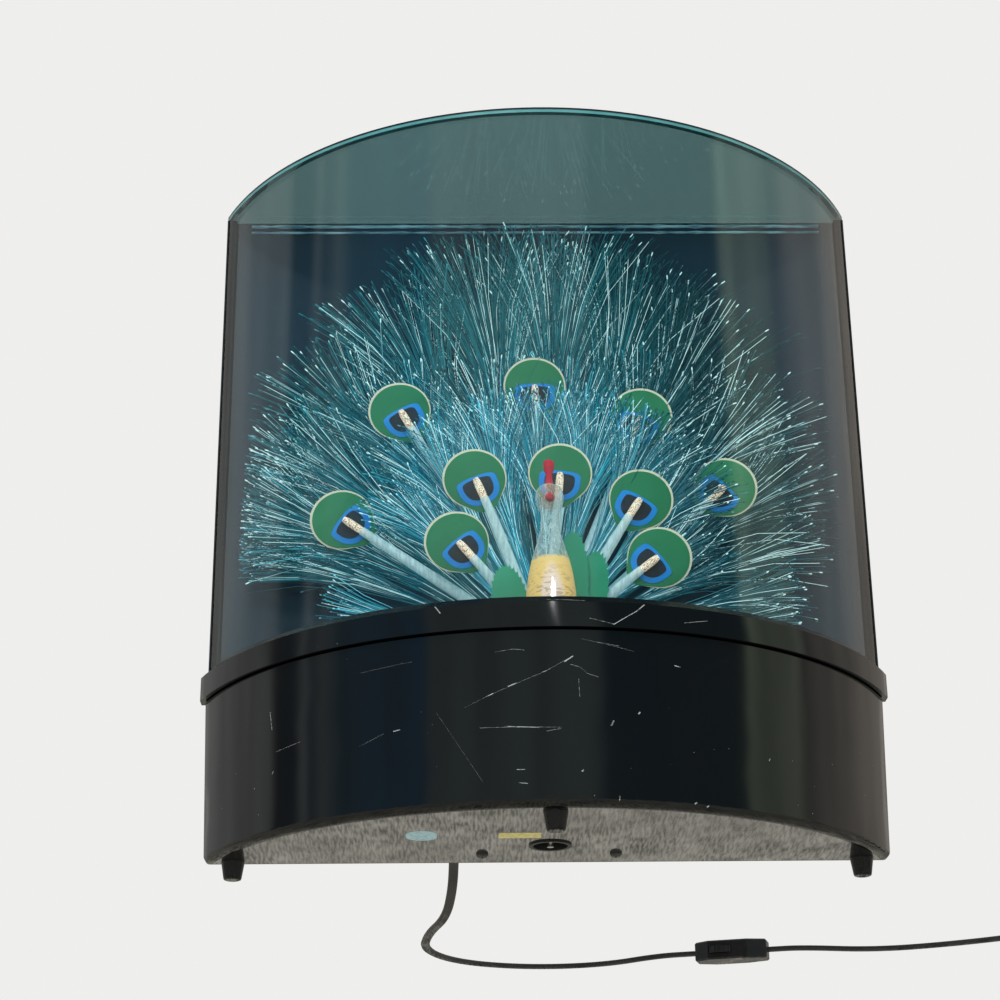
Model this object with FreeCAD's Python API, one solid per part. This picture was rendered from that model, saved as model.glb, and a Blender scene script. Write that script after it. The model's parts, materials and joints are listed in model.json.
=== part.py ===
import FreeCAD, Part
import math
import os

V = FreeCAD.Vector

# Driving dimensions in millimetres. X is the width, the bowed front faces -Y, the flat back +Y, Z is up.
# The origin is on the floor under the middle of the lamp.

# Plan outline: a flat back, short straight sides and one wide circular arc in front
RIM_HALF = 188.0
RIM_DEPTH = 132.0
SIDE_LENGTH = 8.0
BACK_Y = RIM_DEPTH / 2

# Heights
FOOT_HEIGHT = 10.0
PLATE_THICK = 3.0
BASE_TOP = 98.2
LEDGE_TOP = 90.0
RIM_BOTTOM = 99.0
RIM_TOP = 116.0
RIM_CHAMFER = 4.0
GROOVE_FLOOR = 110.0
LAMP_HEIGHT = 400.0

# Insets from the rim's outline
BASE_TOP_INSET = 3.0
BASE_BOTTOM_INSET = 5.5
BASE_EDGE_RADIUS = 4.0
PLATE_INSET = 10.0
CAVITY_INSET = 12.5
MOUTH_INSET = 7.0
COVER_INSET = 4.0

# Clear display case
SHEET = 3.0
STRIP_WIDTH = 5.5
STRIP_DEPTH = 6.0

# Feet and fasteners under the base
FOOT_TOP_R = 6.2
FOOT_BOTTOM_R = 4.8
BACK_FOOT_X = 166.5
BACK_FOOT_Y = 55.5
FRONT_FOOT_Y = -49.5
BOSS_R = 8.0
BOSS_TOP = 44.0
FOOT_STUD_R = 2.0
FOOT_STUD_TOP = 32.0
BRACKET_SCREW_X = 35.0
BRACKET_SCREW_Y = 41.5
BRACKET_SCREW_R = 1.75

# Winding key under the base
KEY_Y = 22.0
KEY_HOLE_R = 10.0
KEY_FLANGE_R = 11.0
KEY_CUP_DEPTH = 10.0

# Light unit inside the base
FERRULE_Y = 16.0
FERRULE_R = 13.0
BUNDLE_R = 11.0
FERRULE_BOTTOM = 83.0
WHEEL_X = -40.0
WHEEL_Y = 6.0
WHEEL_R = 51.0
WHEEL_Z = 78.0
MOTOR_R = 19.0
SHELF_Z = 38.0
SHEET_METAL = 1.2
BULB_Z = 57.0
BULB_R = 11.0

# Fibre display: every fibre leaves the bundle's head at this point
HEAD = V(0, FERRULE_Y, 112.0)
HEAD_R = 38.0
HEAD_HALF_DEPTH = 18.0
STEM_R = 3.0
STEM_CLEAR = 0.3
STEM_FLAT = 22.0
STEM_START = 14.0
SPRAY_THICK = 2.5
CARD_THICK = 0.8

# Places of the ten feather eyes as seen from the front: x, z, and whether the feather is in the back row
EYES = [
    (-108.0, 188.0, True),
    (-37.0, 203.0, False),
    (-46.0, 167.0, False),
    (8.0, 206.0, False),
    (50.0, 191.0, False),
    (58.0, 158.0, False),
    (-4.0, 267.0, True),
    (-78.0, 252.0, True),
    (54.0, 248.0, True),
    (98.0, 206.0, True),
]
FRONT_CARD_Y = 0.0
BACK_CARD_Y = 19.0

# Glass bird in front of the fibres
BIRD_X = 1.0
BIRD_Y = -25.0

# Flat two-wire lead with its switch and plug
CORD_R = 2.75
CORD_REST = CORD_R + 0.05
CORD_EXIT_X = -50.0
CORD_EXIT_Z = 24.0
RELIEF_LENGTH = 22.0

OUT = "parts"
os.makedirs(OUT, exist_ok=True)


def save(name, shape):
    """Writes one sub-part."""
    solids = shape.Solids
    if not shape.isValid() or not solids:
        print("BAD SHAPE", name, shape.isValid(), len(solids))
    if len(solids) == 1:
        shape = solids[0]
    shape.exportStep(os.path.join(OUT, name + ".step"))
    print(f"{name:22s} solids {len(solids):3d} volume {shape.Volume / 1000.0:9.2f} cm3")


def fuse(first, *others):
    return first.multiFuse(list(others)).removeSplitter()


def box(x0, x1, y0, y1, z0, z1):
    return Part.makeBox(x1 - x0, y1 - y0, z1 - z0, V(x0, y0, z0))


def rod(radius, start, end):
    """A round bar from one point to another."""
    return Part.makeCylinder(radius, (end - start).Length, start, end - start)


def up_rod(radius, x, y, z0, z1):
    return Part.makeCylinder(radius, z1 - z0, V(x, y, z0))


def turned(profile, x, y):
    """A solid turned about the vertical line through x, y from (radius, height) points."""
    points = [V(r, 0, z) for r, z in profile]
    face = Part.Face(Part.makePolygon(points + points[:1]))
    body = face.revolve(V(0, 0, 0), V(0, 0, 1), 360)
    return body.translated(V(x, y, 0))


# The bow outline and what is cut from it

BOW_R = (RIM_HALF ** 2 + (RIM_DEPTH - SIDE_LENGTH) ** 2) / (2 * (RIM_DEPTH - SIDE_LENGTH))
BOW_CENTRE_Y = BACK_Y - RIM_DEPTH + BOW_R


def bow(inset, z, back_inset=0.0):
    """The closed plan outline, drawn in by inset in front and at the sides."""
    half = RIM_HALF - inset
    radius = BOW_R - inset
    side_y = BOW_CENTRE_Y - math.sqrt(radius ** 2 - half ** 2)
    front = V(0, BOW_CENTRE_Y - radius, z)
    back_y = BACK_Y - back_inset
    if back_y <= side_y:
        half = math.sqrt(radius ** 2 - (BOW_CENTRE_Y - back_y) ** 2)
        left = V(-half, back_y, z)
        right = V(half, back_y, z)
        return Part.Wire([Part.Arc(left, front, right).toShape(), Part.makeLine(right, left)])
    left_back = V(-half, back_y, z)
    left = V(-half, side_y, z)
    right = V(half, side_y, z)
    right_back = V(half, back_y, z)
    arc = Part.Arc(left, front, right).toShape()
    return Part.Wire([
        Part.makeLine(left_back, left),
        arc,
        Part.makeLine(right, right_back),
        Part.makeLine(right_back, left_back),
    ])


def bow_block(inset, z0, z1, back_inset=0.0):
    return Part.Face(bow(inset, z0, back_inset)).extrude(V(0, 0, z1 - z0))


def bow_taper(inset0, z0, inset1, z1):
    """The same block with sloping sides and front: a cone cut off by three planes."""
    cone = Part.makeCone(BOW_R - inset0, BOW_R - inset1, z1 - z0, V(0, BOW_CENTRE_Y, z0))
    low = RIM_HALF - inset0
    high = RIM_HALF - inset1
    sides = [V(-low, BACK_Y, z0), V(low, BACK_Y, z0), V(high, BACK_Y, z1), V(-high, BACK_Y, z1)]
    wedge = Part.Face(Part.makePolygon(sides + sides[:1])).extrude(V(0, -160, 0))
    return wedge.common(cone)


# Base shell: a bowed box with drafted walls, a ledge for the rim's lip and three bosses for the feet

FEET = {
    "left": (-BACK_FOOT_X, BACK_FOOT_Y),
    "right": (BACK_FOOT_X, BACK_FOOT_Y),
    "front": (0.0, FRONT_FOOT_Y),
}
BACK_WALL = 6.0
MOUTH_BACK_WALL = 4.0


def base_shell():
    outer = bow_taper(BASE_BOTTOM_INSET, FOOT_HEIGHT, BASE_TOP_INSET, BASE_TOP)
    low = [e for e in outer.Edges if e.BoundBox.ZMax < FOOT_HEIGHT + 0.01]
    outer = outer.makeFillet(BASE_EDGE_RADIUS, low)
    recess_top = FOOT_HEIGHT + PLATE_THICK
    cavity = bow_block(CAVITY_INSET, recess_top, LEDGE_TOP, BACK_WALL)
    posts = []
    for x, y in FEET.values():
        posts.append(up_rod(BOSS_R, x, y, recess_top, BOSS_TOP))
    cavity = cavity.cut(Part.makeCompound(posts))
    recess = bow_block(PLATE_INSET, FOOT_HEIGHT - 1, recess_top, MOUTH_BACK_WALL + 0.5)
    mouth = bow_block(MOUTH_INSET, LEDGE_TOP, BASE_TOP + 1, MOUTH_BACK_WALL)
    shell = outer.cut(cavity).cut(recess).cut(mouth)
    for x, y in FEET.values():
        shell = shell.cut(up_rod(FOOT_STUD_R, x, y, recess_top - 1, FOOT_STUD_TOP + 2))
    exit_hole = rod(5.2, V(CORD_EXIT_X, BACK_Y + 1, CORD_EXIT_Z), V(CORD_EXIT_X, BACK_Y - 9, CORD_EXIT_Z))
    return shell.cut(exit_hole).removeSplitter()


def bottom_plate():
    plate = bow_block(PLATE_INSET + 0.2, FOOT_HEIGHT, FOOT_HEIGHT + PLATE_THICK, MOUTH_BACK_WALL + 0.7)
    holes = [up_rod(FOOT_STUD_R + 0.2, x, y, 5, 20) for x, y in FEET.values()]
    holes.append(up_rod(KEY_HOLE_R, 0, KEY_Y, 5, 20))
    for side in (-1, 1):
        holes.append(up_rod(BRACKET_SCREW_R + 0.15, side * BRACKET_SCREW_X, BRACKET_SCREW_Y, 5, 20))
    return plate.cut(Part.makeCompound(holes))


def foot(x, y):
    """A tapered foot with a rounded sole, and the stud that screws it through the plate into its boss."""
    return turned([
        (0, 0), (FOOT_BOTTOM_R - 1.0, 0), (FOOT_BOTTOM_R - 0.3, 0.3), (FOOT_BOTTOM_R, 1.0),
        (FOOT_TOP_R - 0.2, FOOT_HEIGHT - 1.6), (FOOT_TOP_R, FOOT_HEIGHT - 0.8), (FOOT_TOP_R, FOOT_HEIGHT),
        (FOOT_STUD_R - 0.05, FOOT_HEIGHT), (FOOT_STUD_R - 0.05, FOOT_STUD_TOP), (0, FOOT_STUD_TOP),
    ], x, y)


def pan_screw(x, y, seat, head_r, head_h, shank_r, length):
    """A pan-head screw driven upwards, with its head below the seat and a cross in the head."""
    head = turned([
        (0, seat - head_h), (head_r * 0.7, seat - head_h), (head_r, seat - head_h * 0.45), (head_r, seat),
        (0, seat),
    ], x, y)
    screw = fuse(head, up_rod(shank_r, x, y, seat, seat + length))
    slot_low = seat - head_h - 0.5
    slot_high = seat - head_h * 0.45
    cross = fuse(
        box(x - head_r * 0.55, x + head_r * 0.55, y - 0.35, y + 0.35, slot_low, slot_high),
        box(x - 0.35, x + 0.35, y - head_r * 0.55, y + head_r * 0.55, slot_low, slot_high),
    )
    return screw.cut(cross)


def bracket_screws():
    return Part.makeCompound([
        pan_screw(side * BRACKET_SCREW_X, BRACKET_SCREW_Y, FOOT_HEIGHT, 3.2, 2.0, BRACKET_SCREW_R, 7.5)
        for side in (-1, 1)
    ])


# Winding key and the musical movement that it winds

CUP_WALL = 1.0
ARBOR_R = 1.7
MOVEMENT_LOW = 21.0
MOVEMENT_HIGH = 36.0


def key_cup():
    """A black cup pressed into the plate, with a thin flange outside."""
    top = FOOT_HEIGHT + KEY_CUP_DEPTH
    return turned([
        (KEY_HOLE_R - 0.05 - CUP_WALL, FOOT_HEIGHT - 0.8), (KEY_FLANGE_R, FOOT_HEIGHT - 0.8),
        (KEY_FLANGE_R, FOOT_HEIGHT), (KEY_HOLE_R - 0.05, FOOT_HEIGHT), (KEY_HOLE_R - 0.05, top),
        (ARBOR_R + 0.6, top), (ARBOR_R + 0.6, top - CUP_WALL),
        (KEY_HOLE_R - 0.05 - CUP_WALL, top - CUP_WALL),
    ], 0, KEY_Y)


def winding_key():
    """A short arbor with a flat two-lobed wing, set edge-on to the front."""
    arbor = up_rod(ARBOR_R, 0, KEY_Y, FOOT_HEIGHT - 1.2, MOVEMENT_LOW + 5.9)
    lobes = []
    for side in (-1, 1):
        lobe = Part.makeCylinder(3.2, 1.4, V(-0.7, KEY_Y + side * 3.6, 13.2), V(1, 0, 0))
        lobe = lobe.cut(Part.makeCylinder(1.2, 3.0, V(-1.5, KEY_Y + side * 3.9, 13.2), V(1, 0, 0)))
        lobes.append(lobe)
    return fuse(arbor, *lobes)


def music_movement():
    """The movement in its tin: a low box with a spring barrel's dome and two fixing ears."""
    case = box(-25, 20, KEY_Y - 18, KEY_Y + 14, MOVEMENT_LOW, MOVEMENT_HIGH)
    upright = [e for e in case.Edges if abs(e.Vertexes[0].Z - e.Vertexes[1].Z) > 1]
    case = case.makeFillet(3.0, upright)
    legs = [
        up_rod(3.0, x, y, FOOT_HEIGHT + PLATE_THICK, MOVEMENT_LOW)
        for x, y in ((-20, KEY_Y - 13), (-20, KEY_Y + 9), (15, KEY_Y - 13))
    ]
    case = fuse(case, *legs)
    return case.cut(up_rod(ARBOR_R + 0.05, 0, KEY_Y, MOVEMENT_LOW - 1, MOVEMENT_LOW + 6))


# Light unit: a sheet bridge over the movement, with the bulb, the reflector and the wheel's motor

SHELF_X0 = -64.0
SHELF_X1 = 52.0
SHELF_Y0 = -16.0
SHELF_Y1 = 48.0
LEG_X = 28.0
SOCKET_X0 = 24.0
SOCKET_X1 = 48.0
SOCKET_R = 10.0
CAP_R = 6.0
SHAFT_R = 1.5


def light_bracket():
    shelf = box(SHELF_X0, SHELF_X1, SHELF_Y0, SHELF_Y1, SHELF_Z, SHELF_Z + SHEET_METAL)
    pieces = []
    floor = FOOT_HEIGHT + PLATE_THICK
    for side in (-1, 1):
        leg = sorted((side * LEG_X, side * (LEG_X + SHEET_METAL)))
        tab = sorted((side * LEG_X, side * (BRACKET_SCREW_X + 6)))
        pieces.append(box(leg[0], leg[1], 34, SHELF_Y1, floor, SHELF_Z))
        pieces.append(box(tab[0], tab[1], 34, SHELF_Y1, floor, floor + SHEET_METAL))
    upright_end = SOCKET_X1 + SHEET_METAL
    pieces.append(box(SOCKET_X1, upright_end, FERRULE_Y - 12, FERRULE_Y + 12, SHELF_Z, BULB_Z + 12))
    bracket = fuse(shelf, *pieces)
    cuts = []
    hole_r = BRACKET_SCREW_R + 0.1
    for side in (-1, 1):
        cuts.append(up_rod(hole_r, side * BRACKET_SCREW_X, BRACKET_SCREW_Y, floor - 1, floor + 3))
    for k in range(5):
        x = SHELF_X0 + 60 + k * 11.0
        cuts.append(box(x, x + 5, SHELF_Y0 + 5, SHELF_Y0 + 11, SHELF_Z - 1, SHELF_Z + 3))
    return bracket.cut(Part.makeCompound(cuts))


def lamp_socket():
    start = V(SOCKET_X0, FERRULE_Y, BULB_Z)
    body = rod(SOCKET_R, start, V(SOCKET_X1, FERRULE_Y, BULB_Z))
    lip = rod(SOCKET_R + 1.2, start, V(SOCKET_X0 + 2.5, FERRULE_Y, BULB_Z))
    bore = rod(CAP_R + 0.15, start - V(1, 0, 0), V(SOCKET_X0 + 16, FERRULE_Y, BULB_Z))
    return fuse(body, lip).cut(bore)


def bulb_glass():
    """A tubular glass envelope with a round nose, necked down to its cap."""
    along = V(1, 0, 0)
    middle = V(-4, FERRULE_Y, BULB_Z)
    shoulder = V(12, FERRULE_Y, BULB_Z)
    nose = Part.makeSphere(BULB_R, middle)
    barrel = Part.makeCylinder(BULB_R, 16, middle, along)
    taper = Part.makeCone(BULB_R, CAP_R - 0.3, 8, shoulder, along)
    neck = Part.makeCylinder(CAP_R - 0.3, SOCKET_X0 - 21, shoulder + along * 8, along)
    return fuse(barrel, nose, taper, neck)


def bulb_cap():
    start = V(SOCKET_X0 - 1, FERRULE_Y, BULB_Z)
    cap = rod(CAP_R, start, start + V(13, 0, 0))
    rings = [
        Part.makeTorus(CAP_R + 0.15, 0.45, V(SOCKET_X0 + 1.5 + 2.4 * k, FERRULE_Y, BULB_Z), V(1, 0, 0))
        for k in range(4)
    ]
    tip = rod(2.2, start + V(13, 0, 0), start + V(15.5, 0, 0))
    return fuse(cap.cut(Part.makeCompound(rings)), tip)


def reflector():
    """A bright half trough under the bulb."""
    radius = BULB_Z - SHELF_Z - SHEET_METAL
    start = V(-18, FERRULE_Y, BULB_Z)
    end = V(20, FERRULE_Y, BULB_Z)
    trough = rod(radius, start, end).cut(rod(radius - 1.0, start - V(1, 0, 0), end + V(1, 0, 0)))
    return trough.cut(box(-30, 30, FERRULE_Y - 30, FERRULE_Y + 30, BULB_Z, BULB_Z + 30))


def wheel_motor():
    """A small geared motor in a round can with two fixing ears."""
    low = SHELF_Z + SHEET_METAL
    can = turned([
        (0, low), (MOTOR_R, low), (MOTOR_R, low + 15), (MOTOR_R - 1.5, low + 16.5), (7, low + 16.5),
        (7, low + 18.5), (0, low + 18.5),
    ], WHEEL_X, WHEEL_Y)
    ears = box(WHEEL_X - 5, WHEEL_X + 5, WHEEL_Y - 24.5, WHEEL_Y + 24.5, low, low + 1.5)
    body = fuse(can, ears)
    return body.cut(up_rod(SHAFT_R + 0.05, WHEEL_X, WHEEL_Y, low + 6, low + 20))


def wheel_shaft():
    """The motor's output shaft with the wheel's hub pressed on it."""
    low = SHELF_Z + SHEET_METAL
    shaft = up_rod(SHAFT_R, WHEEL_X, WHEEL_Y, low + 6.5, WHEEL_Z + 5)
    hub = turned([
        (0, WHEEL_Z - 6), (4.5, WHEEL_Z - 6), (4.5, WHEEL_Z - 1.2), (9, WHEEL_Z - 1.2), (9, WHEEL_Z),
        (0, WHEEL_Z),
    ], WHEEL_X, WHEEL_Y)
    return fuse(shaft, hub)


WINDOW_R0 = 16.0
WINDOW_R1 = WHEEL_R - 1.5
SPOKE_DEG = 7.0


def ring_sector(r0, r1, start_deg, sweep_deg, z0, z1):
    """A flat piece of a ring round the wheel's axis."""
    corners = [V(r0, 0, z0), V(r1, 0, z0), V(r1, 0, z1), V(r0, 0, z1)]
    face = Part.Face(Part.makePolygon(corners + corners[:1]))
    piece = face.revolve(V(0, 0, 0), V(0, 0, 1), sweep_deg)
    piece.rotate(V(0, 0, 0), V(0, 0, 1), start_deg)
    return piece.translated(V(WHEEL_X, WHEEL_Y, 0))


def color_wheel():
    disc = up_rod(WHEEL_R, WHEEL_X, WHEEL_Y, WHEEL_Z, WHEEL_Z + 1.0)
    disc = disc.cut(up_rod(SHAFT_R, WHEEL_X, WHEEL_Y, WHEEL_Z - 1, WHEEL_Z + 2))
    windows = [
        ring_sector(WINDOW_R0, WINDOW_R1, 90 * k + SPOKE_DEG / 2, 90 - SPOKE_DEG, WHEEL_Z - 1, WHEEL_Z + 2)
        for k in range(4)
    ]
    return disc.cut(Part.makeCompound(windows))


def color_filters():
    low = WHEEL_Z + 1.0
    return Part.makeCompound([
        ring_sector(WINDOW_R0 - 2, WINDOW_R1 + 1, 90 * k + 1.0, 88.0, low, low + 0.4) for k in range(4)
    ])


# Display case: the rim with its lip, the deck, the back panel and the clear sheets

COVER_BACK_Y = 57.0
PANEL_FRONT_Y = BACK_Y - SHEET
TOP_PLATE_Z = LAMP_HEIGHT - SHEET


def front_cover():
    """One clear sheet bent to the bow, open at the back."""
    outer = bow_block(COVER_INSET, GROOVE_FLOOR, TOP_PLATE_Z)
    inner = bow_block(COVER_INSET + SHEET, GROOVE_FLOOR - 1, TOP_PLATE_Z + 1)
    behind = box(-200, 200, COVER_BACK_Y, 100, 0, LAMP_HEIGHT + 10)
    return outer.cut(inner).cut(behind)


def edge_strip(side):
    """A black upright that joins the cover's edge to the back panel."""
    outside = RIM_HALF - COVER_INSET
    low, high = sorted((side * (outside - STRIP_WIDTH), side * outside))
    return box(low, high, COVER_BACK_Y, COVER_BACK_Y + STRIP_DEPTH, GROOVE_FLOOR, TOP_PLATE_Z)


def back_panel():
    half = RIM_HALF - COVER_INSET
    return box(-half, half, PANEL_FRONT_Y, BACK_Y, GROOVE_FLOOR, TOP_PLATE_Z)


def top_plate():
    return bow_block(COVER_INSET, TOP_PLATE_Z, LAMP_HEIGHT)


DECK_LOW = 104.0
DECK_INSET = 14.0
LEDGE_INSET = 22.0
LIP_INSET = 7.4
LIP_WIDTH = 2.6
LIP_BOTTOM = LEDGE_TOP + 0.4


def base_rim():
    """The rim: a chamfered ring that overhangs the base, with a lip that drops into the base's mouth."""
    body = bow_block(0, RIM_BOTTOM, RIM_TOP - RIM_CHAMFER)
    slope = bow_taper(0, RIM_TOP - RIM_CHAMFER, RIM_CHAMFER, RIM_TOP)
    ring = fuse(body, slope)
    ring = ring.cut(bow_block(LEDGE_INSET, RIM_BOTTOM - 1, RIM_TOP + 1, LEDGE_INSET))
    ring = ring.cut(bow_block(DECK_INSET, DECK_LOW, RIM_TOP + 1, DECK_INSET))
    lip = bow_block(LIP_INSET, LIP_BOTTOM, RIM_BOTTOM, MOUTH_BACK_WALL + 0.4)
    lip = lip.cut(bow_block(LIP_INSET + LIP_WIDTH, LIP_BOTTOM - 1, RIM_BOTTOM + 1, MOUTH_BACK_WALL + 3.0))
    ring = fuse(ring, lip)
    for seated in (front_cover(), back_panel(), edge_strip(-1), edge_strip(1)):
        ring = ring.cut(seated)
    return ring.removeSplitter()


def display_deck():
    deck = bow_block(DECK_INSET + 0.2, DECK_LOW, DECK_LOW + SHEET, DECK_INSET + 0.2)
    return deck.cut(up_rod(FERRULE_R, 0, FERRULE_Y, DECK_LOW - 1, DECK_LOW + 5))


# Fibre bundle, its ferrule, the ten feathers and the sprays of bare fibres

DECK_TOP = DECK_LOW + SHEET
COLLAR_TOP = DECK_TOP + 3.0


def fiber_ferrule():
    return turned([
        (BUNDLE_R, FERRULE_BOTTOM), (FERRULE_R - 0.05, FERRULE_BOTTOM), (FERRULE_R - 0.05, DECK_TOP),
        (FERRULE_R + 4, DECK_TOP), (FERRULE_R + 4, COLLAR_TOP), (BUNDLE_R, COLLAR_TOP),
    ], 0, FERRULE_Y)


def bundle_head():
    """The flattened half dome where the fibres leave the ferrule and spread."""
    ball = Part.makeSphere(HEAD_R)
    squeeze = FreeCAD.Matrix()
    squeeze.scale(1.0, HEAD_HALF_DEPTH / HEAD_R, 1.0)
    dome = ball.transformGeometry(squeeze).translated(HEAD)
    return dome.cut(box(-60, 60, -40, 80, 0, COLLAR_TOP))


def fiber_bundle():
    stalk = up_rod(BUNDLE_R - 0.05, 0, FERRULE_Y, FERRULE_BOTTOM, COLLAR_TOP + 1)
    return fuse(stalk, bundle_head())


def eye_card_y(in_back_row):
    return BACK_CARD_Y if in_back_row else FRONT_CARD_Y


def feather_stem(x, z, in_back_row):
    """The sleeved bundle of one feather: out of the bundle's head, then flat across its eye card."""
    tip = V(x, eye_card_y(in_back_row) - STEM_R - STEM_CLEAR, z)
    root = HEAD + V(0, -2.0, 0)
    outward = V(x - root.x, 0, z - root.z).normalize()
    knee = tip - outward * STEM_FLAT
    start = root + (knee - root).normalize() * STEM_START
    stem = fuse(rod(STEM_R, start, knee), Part.makeSphere(STEM_R, knee), rod(STEM_R, knee, tip))
    return stem.cut(bundle_head())


def feather_stems():
    return Part.makeCompound([feather_stem(*eye) for eye in EYES])


EYE_BIG_R = 16.5
EYE_SMALL_R = 9.0
EYE_SPAN = 11.0


def egg_face(big_r, small_r, span):
    """An egg outline in the XZ plane, its blunt end up: two arcs and the lines that touch both."""
    lean = math.asin((big_r - small_r) / span)
    c, s = math.cos(lean), math.sin(lean)
    right_high = V(big_r * c, 0, -big_r * s)
    right_low = V(small_r * c, 0, -span - small_r * s)
    left_high = V(-right_high.x, 0, right_high.z)
    left_low = V(-right_low.x, 0, right_low.z)
    return Part.Face(Part.Wire([
        Part.Arc(right_high, V(0, 0, big_r), left_high).toShape(),
        Part.makeLine(left_high, left_low),
        Part.Arc(left_low, V(0, 0, -span - small_r), right_low).toShape(),
        Part.makeLine(right_low, right_high),
    ]))


def eye_card(x, z, in_back_row):
    """An egg-shaped card, its blunt end outwards along its feather."""
    card = egg_face(EYE_BIG_R, EYE_SMALL_R, EYE_SPAN).extrude(V(0, CARD_THICK, 0))
    card.translate(V(0, 0, 2.5))
    lean = math.degrees(math.atan2(x - HEAD.x, z - HEAD.z))
    card.rotate(V(0, 0, 0), V(0, 1, 0), lean)
    return card.translated(V(x, eye_card_y(in_back_row), z))


def fan(start_deg, end_deg, reach, root_y, tip_y):
    """A thin cone of fibres round the bundle's head, from one angle to another, measured from +X."""
    root = 26.0
    half = SPRAY_THICK / 2
    corners = [
        V(root, root_y - half, 0), V(reach, tip_y - half, 0), V(reach, tip_y + half, 0),
        V(root, root_y + half, 0),
    ]
    face = Part.Face(Part.makePolygon(corners + corners[:1]))
    spray = face.revolve(V(0, 0, 0), V(0, -1, 0), end_deg - start_deg)
    spray.rotate(V(0, 0, 0), V(0, -1, 0), start_deg)
    spray.translate(V(HEAD.x, 0, HEAD.z))
    return spray.cut(bundle_head()).cut(feather_stems())


# Each spray: the two angles and how far its tips reach from the bundle's head
FRONT_FANS = [(18, 47.5, 96), (48.5, 70.8, 112), (71.8, 98, 114), (99, 120.7, 116), (121.7, 152, 94)]
MIDDLE_FANS = [(12, 54.5, 158), (55.5, 79.7, 178), (80.7, 104.7, 186), (105.7, 131.5, 188), (132.5, 166, 160)]
REAR_FANS = [(13, 44.5, 174), (45.5, 74.5, 238), (75.5, 104.5, 264), (105.5, 134.5, 250), (135.5, 166, 176)]


def sprays(fans, root_y, tip_y):
    return Part.makeCompound([fan(a, b, reach, root_y, tip_y) for a, b, reach in fans])


# Glass bird

HEAD_Z = 183.0


def bird_body():
    """A blown glass body: a round belly on a foot, a slim neck and a small round head."""
    profile = [(12.4, 112), (13.4, 124), (12.6, 134), (9.6, 150), (6.4, 159), (5.1, 168)]
    points = [V(r, 0, z) for r, z in profile]
    belly = Part.BSplineCurve()
    belly.interpolate(points)
    edges = [
        Part.makeLine(V(0, 0, DECK_TOP), V(9.0, 0, DECK_TOP)),
        Part.makeLine(V(9.0, 0, DECK_TOP), points[0]),
        belly.toShape(),
        Part.makeLine(points[-1], V(5.0, 0, 176.5)),
        Part.Arc(V(5.0, 0, 176.5), V(6.6, 0, HEAD_Z + 1.0), V(2.6, 0, HEAD_Z + 8.0)).toShape(),
        Part.makeLine(V(2.6, 0, HEAD_Z + 8.0), V(0, 0, HEAD_Z + 8.0)),
        Part.makeLine(V(0, 0, HEAD_Z + 8.0), V(0, 0, DECK_TOP)),
    ]
    body = Part.Face(Part.Wire(edges)).revolve(V(0, 0, 0), V(0, 0, 1), 360)
    return body.translated(V(BIRD_X, BIRD_Y, 0))


def bird_crest():
    """A red glass stub on the head, waisted below its flared tip."""
    low = HEAD_Z + 8.0
    return turned([
        (0, low), (2.3, low), (2.0, low + 5), (2.2, low + 8), (2.9, low + 10), (2.9, low + 13),
        (2.2, low + 14), (0, low + 14),
    ], BIRD_X, BIRD_Y)


def bird_beak():
    start = V(BIRD_X, BIRD_Y - 5.0, HEAD_Z - 1.0)
    cone = Part.makeCone(3.1, 1.2, 6.0, start, V(0, -1, -0.25))
    return cone.cut(bird_body())


def leaf(x, z, half_width, half_height, lean_deg, y):
    """A thin leaf-shaped wing that stands on the deck."""
    outline = Part.Ellipse(V(0, 0, 0), half_height, half_width).toShape()
    plate = Part.Face(Part.Wire([outline])).extrude(V(0, 0, CARD_THICK))
    plate.rotate(V(0, 0, 0), V(0, 0, 1), 90)
    plate.rotate(V(0, 0, 0), V(1, 0, 0), 90)
    plate.rotate(V(0, 0, 0), V(0, 1, 0), lean_deg)
    plate.translate(V(x, y, z))
    return plate.cut(box(-200, 200, -100, 100, 0, DECK_TOP))


def bird_wings():
    return Part.makeCompound([
        leaf(-19.5, 129.0, 10.0, 24.0, -8, -8.0),
        leaf(13.0, 139.0, 9.0, 33.0, 6, -8.0),
        leaf(22.0, 133.0, 9.5, 28.0, 14, -5.5),
    ])


# Lead: paths of straight runs and tangent arcs

def rounded_path(points, name):
    """Joins the route's points by runs and arcs and returns the wire, its length and its smallest radius."""
    edges = []
    radii = []
    here = points[0]
    for k in range(1, len(points) - 1):
        before = points[k - 1] - points[k]
        after = points[k + 1] - points[k]
        turn = math.pi - before.getAngle(after)
        back = 0.45 * min(before.Length, after.Length)
        radii.append(back / math.tan(turn / 2))
        unit_in = V(before).normalize()
        unit_out = V(after).normalize()
        begin = points[k] + unit_in * back
        end = points[k] + unit_out * back
        middle_dir = (unit_in + unit_out).normalize()
        centre_distance = radii[-1] / math.cos(turn / 2)
        middle = points[k] + middle_dir * (centre_distance - radii[-1])
        edges.append(Part.makeLine(here, begin))
        edges.append(Part.Arc(begin, middle, end).toShape())
        here = end
    edges.append(Part.makeLine(here, points[-1]))
    wire = Part.Wire(edges)
    print(f"{name}: length {wire.Length:.1f} mm, radii", ", ".join(f"{r:.0f}" for r in radii))
    return wire


def tube(wire, radius, name):
    """A round tube along the wire."""
    first = wire.Edges[0]
    start = first.valueAt(first.FirstParameter)
    direction = first.tangentAt(first.FirstParameter)
    ring = Part.Wire([Part.makeCircle(radius, start, direction)])
    solid = wire.makePipeShell([ring], True, False)
    if solid.Volume < 0:
        solid.reverse()
    expected = math.pi * radius ** 2 * wire.Length
    print(f"{name}: volume {solid.Volume:.0f} mm3, section times length {expected:.0f} mm3")
    return solid


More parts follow.
